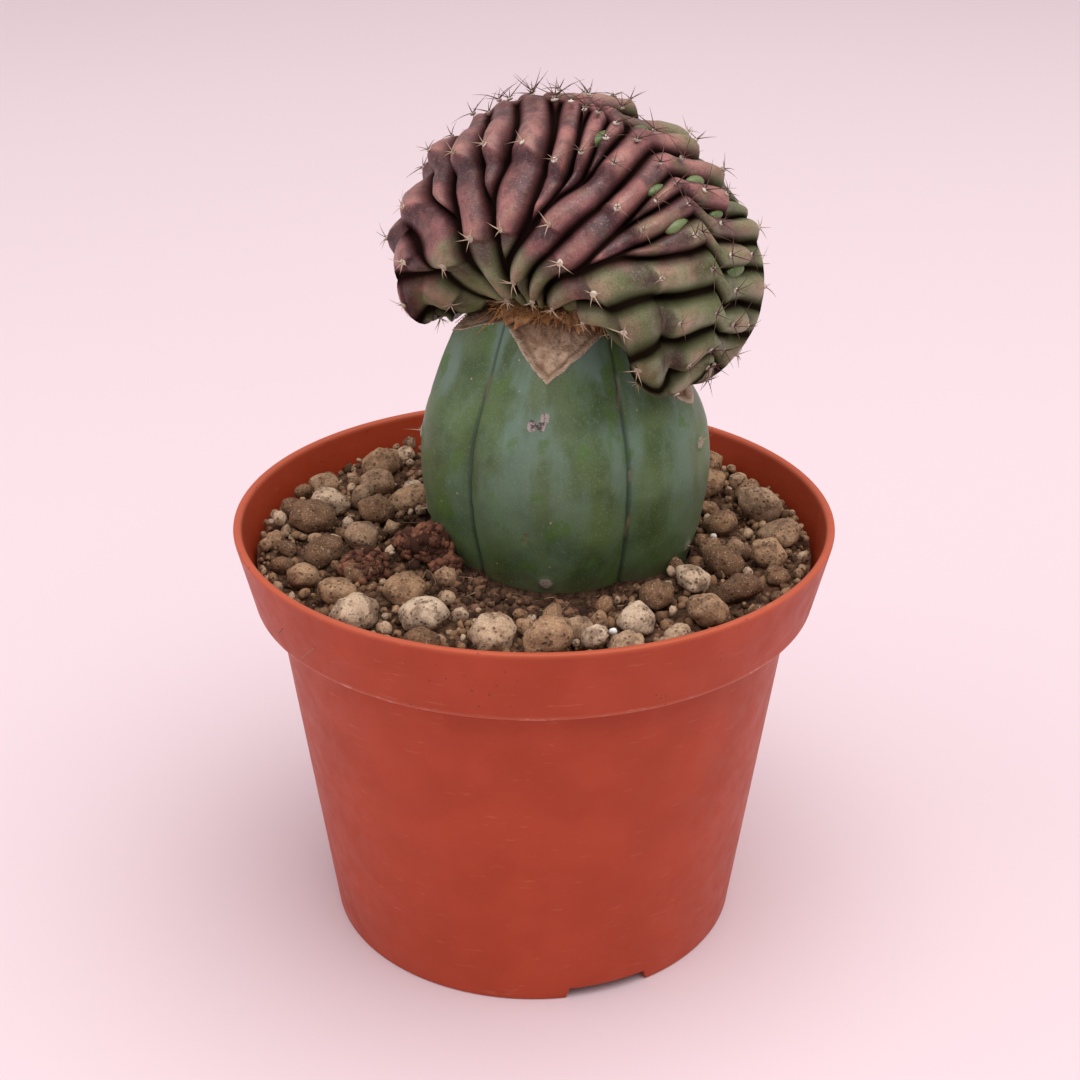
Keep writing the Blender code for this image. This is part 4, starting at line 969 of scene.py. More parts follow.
def make_stock():
    """The ridge radius at each height times the ribbed section, cut back to the slanted planes,
    with a raised edge along each cut and a rough hollow in it."""
    half_rib = math.radians(36)
    angle = STOCK_RIB_ANGLES[0] + half_rib + 2 * np.pi * np.arange(STOCK_COLUMNS) / STOCK_COLUMNS
    low = STOCK_PROFILE[0, 0]
    share = np.linspace(0, 1, STOCK_ROWS)
    height = (low + (STOCK_TOP - low) * share ** 0.55)[:, None]
    angle, height = np.broadcast_arrays(angle, height)
    turn = np.mod(angle - STOCK_RIB_ANGLES[0], 2 * half_rib) - half_rib
    five_sided = math.cos(half_rib) / np.cos(turn)
    flatness = FLATNESS * smoothstep((height - FLAT_SIDES[0]) / (FLAT_SIDES[1] - FLAT_SIDES[0]))
    section = stock_section(angle) * (1 - flatness) + five_sided * flatness
    whole = stock_ridge_radius(height) * section
    flat = np.stack((np.sin(angle) * whole, -np.cos(angle) * whole, height), axis=-1)
    cracks = stock_cracks(angle, height)
    pads = stock_spots(angle, height, STOCK_AREOLES, AREOLE_RADIUS)
    old = stock_spots(angle, height, OLD_SCARS, OLD_SCAR_RADIUS)
    whole = whole + relief(flat, SKIN_LUMPS) - CRACK_DEPTH * cracks
    whole = whole + AREOLE_HEIGHT * smoothstep(pads * 1.6)
    whole = whole + old * (OLD_SCAR_HEIGHT + relief(flat, OLD_SCAR_LUMPS))
    cut = scar_planes(angle, height) + relief(flat, CUT_LUMPS)
    depth = whole - cut
    rim = np.exp(-((depth - 0.05 * MM) / SCAR_RIM) ** 2) * (height < STOCK_TOP - 1.2 * MM)
    hollow = smoothstep(depth / (1.2 * MM)) * (SCAR_HOLLOW + relief(flat, SCAR_LUMPS))
    radius = np.minimum(whole, cut) + SCAR_RIM_HEIGHT * rim - hollow
    from_groove = np.abs(np.cos(2.5 * (angle - STOCK_RIB_ANGLES[0])))
    values = {
        "scar": smoothstep(depth / (0.25 * MM) + 0.2),
        "rim": rim,
        "seam": np.exp(-((depth - 0.55 * MM) / (0.16 * MM)) ** 2),
        "crease_shade": 1 - smoothstep(from_groove * 13),
        "ridge": from_groove ** 6,
        "pad": pads,
        "crack": cracks,
        "old_scar": old,
    }
    rings = about_stock(angle, radius, height)
    start = (*STOCK_AXIS, low - 1.0 * MM)
    return closed_skin("stock_column", rings, start, (*STOCK_AXIS, STOCK_TOP - 0.3 * MM), values)


def stock_finish():
    """Waxy skin: deep green with olive blotches under an uneven blue-grey bloom, painted shade in the
    creases, and cork where it was cut."""
    f = Finish("stock_skin", Roughness=0.5, Specular_IOR_Level=0.4)
    colour = f.patches((0.050, 0.088, 0.024), (0.095, 0.150, 0.048), 6 * MM, 0.3, 0.7)
    bloom = f.span(f.noise(6 * MM, detail=5, stretch=(1, 1, 3.0)), 0.40, 0.62)
    upper = f.span(f.height(), 58 * MM, 88 * MM, 0.25, 0.95)
    bloom = f.times(bloom, upper)
    colour = f.stain(colour, (0.150, 0.238, 0.190), bloom, 0.85)
    colour = f.stain(colour, (0.19, 0.23, 0.165), f.times(f.value("ridge"), upper), 0.28)
    blotch = f.span(f.noise(3.6 * MM, detail=3, stretch=(1, 1, 1.5)), 0.56, 0.66)
    colour = f.stain(colour, (0.075, 0.150, 0.026), blotch, 0.7)
    fine = f.noise(0.3 * MM, detail=2)
    colour = f.mix(f.span(fine, 0.50, 0.75, 0, 0.35), colour, (0.20, 0.27, 0.19))
    warts = f.span(f.cells(1.9 * MM), 0.05, 0.12, 1, 0)
    rare = f.span(f.noise(5 * MM, detail=1), 0.55, 0.65)
    colour = f.stain(colour, (0.45, 0.36, 0.26), f.times(warts, rare), 0.7)
    splashed = f.plus(f.height(), f.times(f.noise(2 * MM), 6 * MM))
    earth = f.span(splashed, 59.5 * MM, 64 * MM, 1, 0)
    colour = f.stain(colour, (0.10, 0.062, 0.036), earth, 0.55)
    # Painted shade darkening the creases between the ribs.
    colour = f.stain(colour, (0.018, 0.040, 0.030), f.value("crease_shade"), 0.8)
    colour = f.stain(colour, (0.25, 0.17, 0.10), f.value("crack"), 0.8)
    ragged = f.times(f.plus(fine, f.noise(0.9 * MM, detail=4)), 0.6)
    pad = f.span(f.plus(f.value("pad"), ragged), 0.95, 1.15)
    wool = f.mix(f.noise(0.5 * MM), (0.16, 0.12, 0.10), (0.46, 0.39, 0.34))
    colour = f.mix(pad, colour, wool)
    torn = f.plus(f.value("old_scar"), f.wander(1, 1.1 * MM, detail=5, rough=0.7))
    dead = f.patches((0.055, 0.045, 0.042), (0.36, 0.29, 0.27), 0.8 * MM, 0.42, 0.58, detail=4)
    colour = f.mix(f.span(torn, 0.52, 0.62), colour, dead)
    cork = f.patches((0.46, 0.285, 0.185), (0.74, 0.53, 0.375), 1.8 * MM, 0.35, 0.65, detail=6)
    cork = f.patches(cork, (0.16, 0.075, 0.038), 0.7 * MM, 0.56, 0.68, 0.6, detail=5)
    inner = f.span(f.height(), 89.5 * MM, 93 * MM, 0, 0.6)
    cork = f.mix(inner, cork, (0.16, 0.075, 0.035))
    colour = f.mix(f.value("scar"), colour, cork)
    colour = f.stain(colour, (0.14, 0.065, 0.035), f.value("seam"), 0.75)
    edge = f.times(f.value("rim"), f.span(f.noise(0.8 * MM, detail=3), 0.2, 0.5, 0.6, 1))
    f.set("Base Color", f.mix(f.span(edge, 0.35, 0.75), colour, (0.62, 0.46, 0.36)))
    dull = f.math("MAXIMUM", f.value("scar"), f.times(bloom, 0.4))
    f.set("Roughness", f.span(dull, 0, 1, 0.42, 0.95))
    skin = f.bump(f.noise(0.5 * MM, detail=6, rough=0.7), 0.05 * MM, 0.6)
    grain = f.times(f.value("scar"), f.noise(0.6 * MM, detail=8))
    f.set("Normal", f.bump(grain, 0.4 * MM, 0.9, under=skin))
    return f


def make_stock_spines():
    """A few short stiff spines on each areole of the stock, spread outwards at random."""
    rng = np.random.default_rng(71)
    angle, height = np.array(STOCK_AREOLES).T
    angle = np.radians(np.repeat(angle, STOCK_SPINES_EACH))
    height = np.repeat(height, STOCK_SPINES_EACH) * MM
    count = len(angle)
    root = about_stock(angle, stock_ridge_radius(height) - 0.1 * MM, height)
    turn = angle + rng.uniform(-1.1, 1.1, count)
    heads = unit(np.stack((np.sin(turn), -np.cos(turn), rng.uniform(-0.5, 0.9, count)), axis=1))
    lengths = rng.uniform(*STOCK_SPINE_LENGTHS, count) * MM
    bend = 0.35 * rng.normal(size=(count, 3))
    radii = rng.uniform(0.07, 0.12, count) * MM
    shapes, faces, along = bent_needles(root, heads, lengths, radii, bend, 5, 5, 0.15)
    return scatter("stock_spines", shapes, faces, {"along": along, "age": np.full(count, 0.8)})


def spine_finish():
    """Horny spines: dark brown with a black tip when young, straw-coloured to white when old."""
    f = Finish("spine_horn", Roughness=0.45, Specular_IOR_Level=0.5)
    age = f.plus(f.value("age"), f.times(f.noise(1.5 * MM), 0.3))
    colour = f.mix(f.span(age, 0.3, 0.95), (0.085, 0.028, 0.018), (0.60, 0.44, 0.30))
    tip = f.span(f.value("along"), 0.45, 1.0)
    f.set("Base Color", f.stain(colour, (0.09, 0.035, 0.022), tip, 0.75))
    return f


stock = stock_finish().on(make_stock())
spine_horn = spine_finish()
stock_spines = spine_horn.on(make_stock_spines())
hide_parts("stock")
for piece in (stock, stock_spines):
    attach(piece, "root")

# Dried tissue at the graft: what is left of the two cut faces where they grew together. It
# is a thin tan skin, torn at its edge, over the stock's cut top, with orange-brown fibres.

TISSUE_HANG = 1.1 * MM
TISSUE_THICKNESS = 1.1 * MM
TISSUE_EDGE = 0.3 * MM
TISSUE_CLEARANCE = 0.35 * MM
TISSUE_CREASES = ((1.7 * MM, 0.4 * MM, 81), (0.7 * MM, 0.22 * MM, 82))
TISSUE_COLUMNS = 480
TISSUE_FIBRES = 420


def top_edge(angle):
    """Radius of the stock's flat top, which the slanted rib tops leave five-sided."""
    return STOCK_TOP_RADIUS / np.cos(angle[..., None] - STOCK_RIB_ANGLES).max(axis=-1)


def stock_top_height(radius, angle):
    """Height of the stock's upper surface at a radius and angle: shoulder, slanted cuts, top."""
    heights = np.linspace(STOCK_TOP + 1 * MM, STOCK_WIDEST, 60)
    radii = np.interp(heights, *STOCK_PROFILE.T)
    height = np.interp(radius / stock_section(angle), radii, heights)
    for rib, apex in zip(STOCK_RIB_ANGLES, STOCK_SCAR_HEIGHTS):
        past_top = radius * np.cos(angle - rib) - STOCK_TOP_RADIUS
        height = np.minimum(height, STOCK_TOP - scar_slope(apex) * past_top)
    return np.minimum(height, STOCK_TOP)


def make_tissue():
    """Rings over the cut top: from its middle out along the underside to a torn edge, and back
    along the crumpled upper side. The edge reaches past the five-sided top by a sum of waves."""
    angle = np.linspace(0, 2 * np.pi, TISSUE_COLUMNS, endpoint=False)
    edge = top_edge(angle)
    torn = 1 + 0.4 * np.sin(7 * angle + 0.5) + 0.25 * np.sin(17 * angle)
    torn = torn + 0.3 * np.sin(41 * angle + 2) + 0.25 * np.sin(67 * angle + 1)
    reach = edge + TISSUE_HANG * np.maximum(torn, 0.1)
    rings = []
    under = [(share, 0.0) for share in np.linspace(0.1, 1, 24)]
    over = [(share, 1.0) for share in np.linspace(1, 0.1, 40)]
    for share, side in under + over:
        radius = reach * share
        height = stock_top_height(radius, angle) + TISSUE_CLEARANCE
        thick = TISSUE_THICKNESS * (1 - share ** 6) + TISSUE_EDGE
        ring = about_stock(angle, radius, height + side * thick)
        crumple = relief(ring, TISSUE_CREASES) * min(1, 8 * (1 - share))
        ring[:, 2] += side * (0.15 * MM + crumple)
        rings.append(ring)
    start = (*STOCK_AXIS, STOCK_TOP + TISSUE_CLEARANCE)
    end = (*STOCK_AXIS, STOCK_TOP + TISSUE_CLEARANCE + TISSUE_THICKNESS)
    return closed_skin("tissue_skin", np.array(rings), start, end)


def make_tissue_fibres():
    """Torn fibres that stand out from the join and bend down over the cuts."""
    rng = np.random.default_rng(83)
    angle = rng.uniform(-np.pi, np.pi, TISSUE_FIBRES)
    radius = top_edge(angle) * rng.uniform(0.85, 1.15, TISSUE_FIBRES)
    height = stock_top_height(radius, angle) + rng.uniform(0.5, 1.9, TISSUE_FIBRES) * MM
    roots = about_stock(angle, radius, height)
    turn = angle + rng.normal(0, 0.7, TISSUE_FIBRES)
    heads = np.stack((np.sin(turn), -np.cos(turn), rng.uniform(-0.5, 0.35, TISSUE_FIBRES)), axis=1)
    bend = rng.normal(size=(TISSUE_FIBRES, 3)) * 0.3 - (0, 0, 0.45)
    lengths = rng.uniform(0.9, 3.1, TISSUE_FIBRES) * MM
    radii = rng.uniform(0.05, 0.13, TISSUE_FIBRES) * MM
    shapes, faces, _ = bent_needles(roots, heads, lengths, radii, bend, 4, 6, 0.4)
    return scatter("tissue_fibres", shapes, faces, {"tint": rng.random(TISSUE_FIBRES)})


def tissue_finish():
    """Dry skin: tan with orange and dark brown stains."""
    f = Finish("dried_tissue", Roughness=0.9, Specular_IOR_Level=0.25)
    colour = f.patches((0.32, 0.145, 0.052), (0.56, 0.33, 0.165), 2.2 * MM, 0.35, 0.65, detail=6)
    colour = f.patches(colour, (0.075, 0.030, 0.015), 1.0 * MM, 0.55, 0.7, 0.7, detail=6)
    f.set("Base Color", colour)
    threads = f.noise(0.5 * MM, detail=8, rough=0.7, stretch=(1, 1, 3))
    f.set("Normal", f.bump(threads, 0.3 * MM, 0.9))
    return f


tissue = tissue_finish().on(make_tissue())
orange_fibre = crumb_finish("orange_fibre", (0.24, 0.085, 0.022), (0.66, 0.35, 0.13))
tissue_fibres = orange_fibre.on(make_tissue_fibres())
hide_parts("graft_tissue")
for piece in (tissue, tissue_fibres):
    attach(piece, "root")

# Crest: the grafted gymnocalycium. Its growing point has widened into a line that stands
# on edge as an arch, and ribs of long tubercles run down from it on both faces to the
# graft. The skin is rose to purple in the sun and green in the shade and at the base.

FAN_TURN = math.radians(41)                    # about Z, bringing the arch's right end forward
FAN_CENTRE = (5.6 * MM, 2.6 * MM, 99.0 * MM)
FAN_HALF_WIDTH = 25.1 * MM
FAN_HALF_HEIGHT = 22.7 * MM
FAN_BOW = 2.3 * MM                             # how far the arch's top bows to the front
ARC_MIDDLE = math.radians(-4.6)                # from the top of the oval that the arch follows
ARC_HALF = math.radians(118.8)                 # run of the arch to either side of its middle
ARC_EASE_LEFT = 0.55                           # places past which the ribs crowd to the arch's ends
ARC_EASE_RIGHT = 0.8
ARC_END = 1.2                                  # places run from minus this to plus this
UNION_CENTRE = (3.0 * MM, 3.2 * MM, 94.95 * MM)
UNION_RADIUS = 9.6 * MM
SHOULDER_FRONT = 20.5 * MM                     # reach of the ribs' curves off the growing line
SHOULDER_BACK = 21.0 * MM
SHOULDER_LEFT = 3.5 * MM
SHOULDER_RIGHT = 11.0 * MM
BELLY = 18.5 * MM                              # reach of the ribs' curves off the union
BELLY_END = 8.5 * MM
END_SOFTNESS = 0.12                            # higher for ribs that change more gently at the ends
RISE = math.radians(19.5)                      # of the ribs' curves where they leave the union
RISE_LEFT = math.radians(8)
RISE_RIGHT = math.radians(-30)
LEFT_TURN = math.radians(8)                    # round the union: from here on the left lobe lies down
LEFT_TURN_END = math.radians(54)
UNION_LEFT_DROP = 6.0 * MM
UNION_LEFT_REACH = 4.6 * MM
BELLY_LEFT = 6.0 * MM
RING_TWIST = 0.23                              # how the ribs' feet are spread round the union
RING_CROWD = -0.56
FRONT_RIBS = (                                 # place, how far down it runs, its first areole
    (-1.12, 1.00, 0.20), (-1.01, 0.50, 0.12), (-0.90, 1.00, 0.28), (-0.79, 0.45, 0.18),
    (-0.67, 0.85, 0.30), (-0.51, 1.00, 0.10), (-0.39, 0.60, 0.22), (-0.275, 1.00, 0.30),
    (-0.18, 0.55, 0.28), (-0.06, 0.80, 0.25), (0.055, 0.16, 0.05), (0.14, 0.58, 0.26),
    (0.20, 0.16, 0.05), (0.255, 0.44, 0.19), (0.32, 0.30, 0.10), (0.395, 1.00, 0.15),
    (0.48, 1.00, 0.24), (0.545, 0.30, 0.12), (0.61, 0.56, 0.21), (0.67, 0.40, 0.06),
    (0.77, 1.00, 0.22), (0.885, 1.00, 0.18), (1.00, 0.60, 0.12), (1.12, 1.00, 0.22),
)
BACK_END = 1.12                                # place of the back's outermost ribs
BACK_REACHES = (1.0, 0.5, 1.0, 0.65)           # these two over and over along the back
BACK_AREOLES = (0.20, 0.12, 0.28, 0.16)
BACK_PLACE_SHIFT = 0.018
BACK_AREOLE_SHIFT = 0.04
BACK_SEED = 3
SURFACE_STEP = 1e-3                            # in place and down, to measure slopes by
RIB_LEAN = 0.08                                # of the ribs' upper ends along the growing line
RIB_FADE = 0.42                                # run over which a short rib narrows to its end
RIB_REMNANT = 0.03                             # of its width, which is left below
ZIGZAG = 0.04                                  # sideways swing of the grooves, of a rib's width
AREOLE_STEP = 0.30                             # down a rib, of its whole way
GROOVE_DEPTH = 4.2 * MM
GROOVE_SHARE = 0.95                            # most depth, of the width of the ribs beside it
NEAR_RIBS = 4                                  # on each side, to judge a fading rib's width by
BEND_SHARE = 0.32                              # most depth, of the bend's radius less SHARP_BEND
SHARP_BEND = 4.0 * MM
CROWN_ROUNDNESS = 0.75                         # lower for broader ribs
TUBERCLE_RELIEF = 1.9 * MM
TUBERCLE_SHARE = 0.6                           # most relief, of the grooves' depth
CREST_ROWS = 112
CREST_CLEARANCE = 0.8 * MM                     # above the stock's shoulders
TISSUE_REACH = 13.8 * MM                       # from the axis: the crest clears the tissue this far
TISSUE_REACH_BLEND = 4.0 * MM
FLAT_REACH = 12.0 * MM                         # and this far it stays above the flat top
GROWING_BAND = 0.015                           # how far down the first row of points lies
SOLE_RINGS = (0.85, 0.65)                      # of the union ring's size, under the body
ACROSS_RIB = -np.cos(np.pi * np.arange(12) / 12)
SPOT_PLACE = (-0.49, 0.72)                     # an old scar: place and how far down
SPOT_SIZE = 0.022
FELT_SHAPE = (0.62, 0.8, 0.34)
FELT_SIZES = (0.45, 0.72)                      # mm
SPINES_EACH = 5                                # on an areole
SPINES_KEPT = 0.9
SPINE_LENGTHS = (2.4, 5.0)                     # mm, and about half as long on old areoles
SPINE_RADII = (0.07, 0.10)
SPINE_LEAN = (38, 78)                          # degrees away from the skin's outward direction
YOUNG_IN_FRONT = (14, 17, 19)                  # grooves, counted from the left
YOUNG_BEHIND = (14, 15, 17, 18, 20)
YOUNG_SHAPE = (0.65, 1.5, 0.65)
YOUNG_SIZES = (1.0, 1.5)                       # mm
YOUNG_SINK = 1.9 * MM
WRINKLES = ((2.2 * MM, 0.10 * MM, 91), (0.8 * MM, 0.045 * MM, 92))


def crest_body(place, down, side):
    """Surface over the rib tops. Place runs along the growing line, down from it to the union.

    Each rib is a cubic curve: it starts on the arch square to the fan, bellies out, and
    comes in to its place on the ring over the stock. Past the eased ends of the arch the
    ribs fan out round its ends, so that front (side 1) and back (side -1) meet there.
    """
    along = np.array((math.cos(FAN_TURN), -math.sin(FAN_TURN), 0.0))
    across = np.array((-math.sin(FAN_TURN), -math.cos(FAN_TURN), 0.0))
    up = np.array((0.0, 0.0, 1.0))
    sign = np.sign(place)
    steady = np.where(sign < 0, ARC_EASE_LEFT, ARC_EASE_RIGHT)
    ease = np.clip((np.abs(place) - steady) / (ARC_END - steady), 0, 1)
    run = sign * (np.minimum(np.abs(place), steady) + (ARC_END - steady) / 2 * (1 - (1 - ease) ** 2))
    angle = ARC_MIDDLE + ARC_HALF * run
    sine = np.sin(angle)[..., None]
    cosine = np.cos(angle)[..., None]
    start = np.array(FAN_CENTRE) + FAN_HALF_WIDTH * sine * along
    start = start + FAN_HALF_HEIGHT * cosine * up + FAN_BOW * cosine * across
    tangent = unit(FAN_HALF_WIDTH * cosine * along - FAN_HALF_HEIGHT * sine * up)
    fan = (np.pi / 2 * ease ** 1.5)[..., None]
    leave = side * np.cos(fan) * across + sign[..., None] * np.sin(fan) * tangent

    share = place / ARC_END
    ring = np.pi / 2 * (share + (RING_TWIST + RING_CROWD * share) * (1 - share ** 2))
    ring = ring[..., None]
    outward = np.sin(ring) * along + side * np.cos(ring) * across
    shoulder = np.where(side > 0, SHOULDER_FRONT, SHOULDER_BACK)
    shoulder_end = np.where(sign < 0, SHOULDER_LEFT, SHOULDER_RIGHT)[..., None]
    first = np.cos(fan) * shoulder + (1 - np.cos(fan)) * shoulder_end
    facing = np.hypot(np.cos(ring), END_SOFTNESS) - END_SOFTNESS
    facing = facing / (math.hypot(1, END_SOFTNESS) - END_SOFTNESS)
    second = BELLY_END + facing * (BELLY - BELLY_END)
    rise_end = RISE_LEFT + (RISE_RIGHT - RISE_LEFT) * (1 + np.sin(ring)) / 2
    rise_angle = rise_end + facing * (RISE - rise_end)
    lying = smoothstep((-ring - LEFT_TURN) / (LEFT_TURN_END - LEFT_TURN))
    second = second + lying * (BELLY_LEFT - second)
    end = np.array(UNION_CENTRE) + (UNION_RADIUS + UNION_LEFT_REACH * lying) * outward
    end = end - UNION_LEFT_DROP * lying * up
    rise = outward * np.cos(rise_angle) + up * np.sin(rise_angle)
    one = start + first * leave
    two = end + second * rise
    v = down[..., None]
    u = 1 - v
    return u ** 3 * start + 3 * u * u * v * one + 3 * u * v * v * two + v ** 3 * end


def crest_normal(place, down, side):
    """Direction out of the body, from small steps along its surface to either side."""
    step = SURFACE_STEP
    along = crest_body(place + step, down, side) - crest_body(place - step, down, side)
    below = crest_body(place, down + step, side) - crest_body(place, down - step, side)
    return unit(side * np.cross(below, along))


def crest_bend_radius(place, down, side):
    """Radius that the body bends to, the smaller of those along the line and down from it."""
    step = SURFACE_STEP
    here = crest_body(place, down, side)
    facing = crest_normal(place, down, side)
    radii = []
    for along, below in ((step, 0.0), (0.0, step)):
        moved = crest_body(place + along, down + below, side) - here
        turned = crest_normal(place + along, down + below, side) - facing
        length = np.linalg.norm(moved, axis=-1)
        radii.append(length / (np.linalg.norm(turned, axis=-1) + 1e-6))
    return np.minimum(*radii)


def back_ribs():
    """The same count of ribs as at the front, evenly spaced but for a small seeded shift."""
    rng = random.Random(BACK_SEED)
    ribs = []
    count = len(FRONT_RIBS)
    for k in range(count):
        place = -BACK_END + 2 * BACK_END * k / (count - 1)
        if 0 < k < count - 1:
            place += rng.uniform(-BACK_PLACE_SHIFT, BACK_PLACE_SHIFT)
        turn = k % len(BACK_REACHES)
        first = BACK_AREOLES[turn] + rng.uniform(-BACK_AREOLE_SHIFT, BACK_AREOLE_SHIFT)
        ribs.append((place, BACK_REACHES[turn], first))
    return tuple(ribs)


def areole_phase(ribs, down):
    """Where each place down each rib lies between its areoles: 0 at one, 1 at the next below."""
    first = np.array([rib[2] for rib in ribs])
    return np.mod((down[:, None] - first) / AREOLE_STEP, 1.0)


def tubercle(phase):
    """Saw-tooth down a rib, from 0 at each areole: sharply to 1 below it, back to 0 by the next."""
    return smoothstep(phase / 0.14) * (1 - smoothstep((phase - 0.14) / 0.86))


def rib_edges(ribs, down):
    """Grooves at places down the body, and each rib's share of its full width there.

    A short rib narrows to a remnant past its reach, and the ribs beside it close up. The
    grooves swing aside round each tubercle's wide lower end.
    """
    places = np.array([rib[0] for rib in ribs])
    reach = np.array([rib[1] for rib in ribs])
    middles = (places[1:] + places[:-1]) / 2
    widths = np.diff(np.concatenate(([-ARC_END], middles, [ARC_END])))
    full = smoothstep((reach - down[:, None]) / RIB_FADE)
    full = np.where(reach >= 1.0, 1.0, full)
    shown = widths * (RIB_REMNANT + (1 - RIB_REMNANT) * full)
    steps = np.cumsum(shown, axis=1) / shown.sum(axis=1, keepdims=True)
    edges = np.concatenate((np.zeros((len(down), 1)), steps), axis=1)
    edges = -ARC_END + 2 * ARC_END * edges
    swing = tubercle(areole_phase(ribs, down)) * smoothstep(down / 0.1)[:, None]
    narrow = np.minimum(shown[:, 1:], shown[:, :-1])
    edges[:, 1:-1] += ZIGZAG * narrow * (swing[:, 1:] - swing[:, :-1])
    lean = RIB_LEAN * (1 - down[:, None]) ** 6 * (1 - (edges / ARC_END) ** 2)
    return edges - lean, full


def groove_depths(edges, full, down, side):
    """Depth of each groove: shallow at the growing line and the union, and less where the ribs
    beside it are narrow or the body bends sharply."""
    rows = np.broadcast_to(down[:, None], edges.shape)
    whole = 0.4 + 0.6 * smoothstep(down / 0.3)
    whole = GROOVE_DEPTH * whole * (0.35 + 0.65 * smoothstep((1.0 - down) / 0.35))
    widths = np.linalg.norm(np.diff(crest_body(edges, rows, side), axis=1), axis=-1)
    near = np.pad(widths, ((0, 0), (NEAR_RIBS, NEAR_RIBS)), mode="edge")
    near = np.lib.stride_tricks.sliding_window_view(near, 2 * NEAR_RIBS + 1, axis=1).max(axis=-1)
    beside = np.pad(full * widths + (1 - full) * near, ((0, 0), (1, 1)), mode="edge")
    narrow = GROOVE_SHARE * np.maximum(beside[:, 1:], beside[:, :-1])
    bent = BEND_SHARE * np.maximum(crest_bend_radius(edges, rows, side) - SHARP_BEND, 0.0)
    return np.minimum(whole[:, None], np.minimum(narrow, bent))


def round_the_stock(points):
    """Distance of points from the stock's axis, and their angle from the front."""
    dx = points[..., 0] - STOCK_AXIS[0]
    dy = points[..., 1] - STOCK_AXIS[1]
    return np.hypot(dx, dy), np.arctan2(dx, -dy)


def rest_on_stock(points):
    """Lifts whatever would reach into the stock or its dried tissue until it lies on them."""
    away, angle = round_the_stock(points)
    over_tissue = 1 - smoothstep((away - TISSUE_REACH) / TISSUE_REACH_BLEND)
    on_tissue = TISSUE_CLEARANCE + TISSUE_THICKNESS + TISSUE_EDGE
    clearance = CREST_CLEARANCE + (on_tissue - CREST_CLEARANCE) * over_tissue
    floor = stock_top_height(away, angle) + clearance
    floor = np.where(away < FLAT_REACH, STOCK_TOP + on_tissue, floor)
    floor = np.where(away < np.interp(STOCK_WIDEST, *STOCK_PROFILE.T), floor, 0.0)
    points[..., 2] = np.maximum(points[..., 2], floor)
    return points


def crest_face(ribs, side):
    """Points of one face, and what colours them: rows down the body, columns over each rib.

    From the body's surface a point sinks by the groove's depth times (1 - crown), where crown
    is the cosine of a quarter turn times a, to the power of the crown's roundness, at a share a
    of the way from the rib's middle to its grooves, and by the tubercle's saw-tooth times it.
    """
    down = np.linspace(GROWING_BAND, 1.0, CREST_ROWS)
    edges, full = rib_edges(ribs, down)
    depths = groove_depths(edges, full, down, side)
    share = (ACROSS_RIB + 1) / 2
    place = edges[:, :-1, None] + np.diff(edges, axis=1)[..., None] * share
    depth = depths[:, :-1, None] + np.diff(depths, axis=1)[..., None] * share
    crown = smoothstep(2.5 * full)[..., None] * np.cos(np.pi / 2 * ACROSS_RIB) ** CROWN_ROUNDNESS
    phase = areole_phase(ribs, down)
    fade = (smoothstep(down / 0.08) * smoothstep((1.0 - down) / 0.12))[:, None]
    dip = (TUBERCLE_RELIEF * tubercle(phase) * fade)[..., None]
    sink = depth * (1 - crown) + np.minimum(dip, depth * TUBERCLE_SHARE) * crown
    middle = np.exp(-(ACROSS_RIB / 0.5) ** 2)
    broad = np.exp(-(ACROSS_RIB / 0.8) ** 4)
    # Masks for painted light on each tubercle: a shadow just below its areole, a highlight above it.
    below = smoothstep(phase / 0.05) * (1 - smoothstep((phase - 0.16) / 0.46))
    above = smoothstep((phase - 0.45) / 0.5)
    values = {
        "groove": (1 - crown) ** 1.3,
        "chin_shadow": (below * fade)[..., None] * broad,
        "areole_highlight": (above * fade)[..., None] * middle,
        "down": np.broadcast_to(down[:, None, None], place.shape),
        "place": place,
        "face": np.full(place.shape, float(side)),
    }
    place = np.concatenate((place.reshape(CREST_ROWS, -1), edges[:, -1:]), axis=1)
    sink = np.concatenate((sink.reshape(CREST_ROWS, -1), depths[:, -1:]), axis=1)
    flat = {
        label: np.pad(numbers.reshape(CREST_ROWS, -1), ((0, 0), (0, 1)), mode="edge")
        for label, numbers in values.items()
    }
    level = np.broadcast_to(down[:, None], place.shape)
    points = crest_body(place, level, side)
    normal = crest_normal(place, level, side)
    wrinkled = relief(points, WRINKLES) * smoothstep((1 - level) / 0.1)
    points = points + (wrinkled - sink)[..., None] * normal
    return rest_on_stock(points), flat


def make_crest():
    """Front and back faces, closed along the growing line and under the body at the union."""
    front, front_values = crest_face(FRONT_RIBS, 1)
    back, back_values = crest_face(back_ribs(), -1)
    loop = np.concatenate((front, back[:, -2:0:-1]), axis=1)
    values = {
        label: np.concatenate((numbers, back_values[label][:, -2:0:-1]), axis=1)
        for label, numbers in front_values.items()
    }
    centre = np.array(UNION_CENTRE)
    sole = [rest_on_stock(centre + share * (loop[-1] - centre)) for share in SOLE_RINGS]
    loop = np.concatenate((loop, sole))
    values = {
        label: np.concatenate((numbers, np.repeat(numbers[-1:], len(sole), axis=0)))
        for label, numbers in values.items()
    }
    rows, count = loop.shape[:2]
    last = front.shape[1] - 1
    here = np.arange(count)
    beside = (here + 1) % count
    under = np.full(count, rows * count)
    low = (rows - 1) * count
    left = np.arange(1, last - 1)
    seam = np.stack((left, count - left, count - left - 1, left + 1), axis=1)
    ends = np.array(((0, count - 1, 1), (last, last - 1, last + 1)))
    faces = [
        grid_faces(rows, count)[:, ::-1],
        seam[:, ::-1],
        ends[:, ::-1],
        np.stack((low + here, under, low + beside), axis=1),
    ]
    points = np.concatenate((loop.reshape(-1, 3), [sole[-1].mean(axis=0)]))
    values = {label: np.append(numbers.ravel(), numbers[-1, 0]) for label, numbers in values.items()}
    return new_piece("crest_body", points, faces, values)


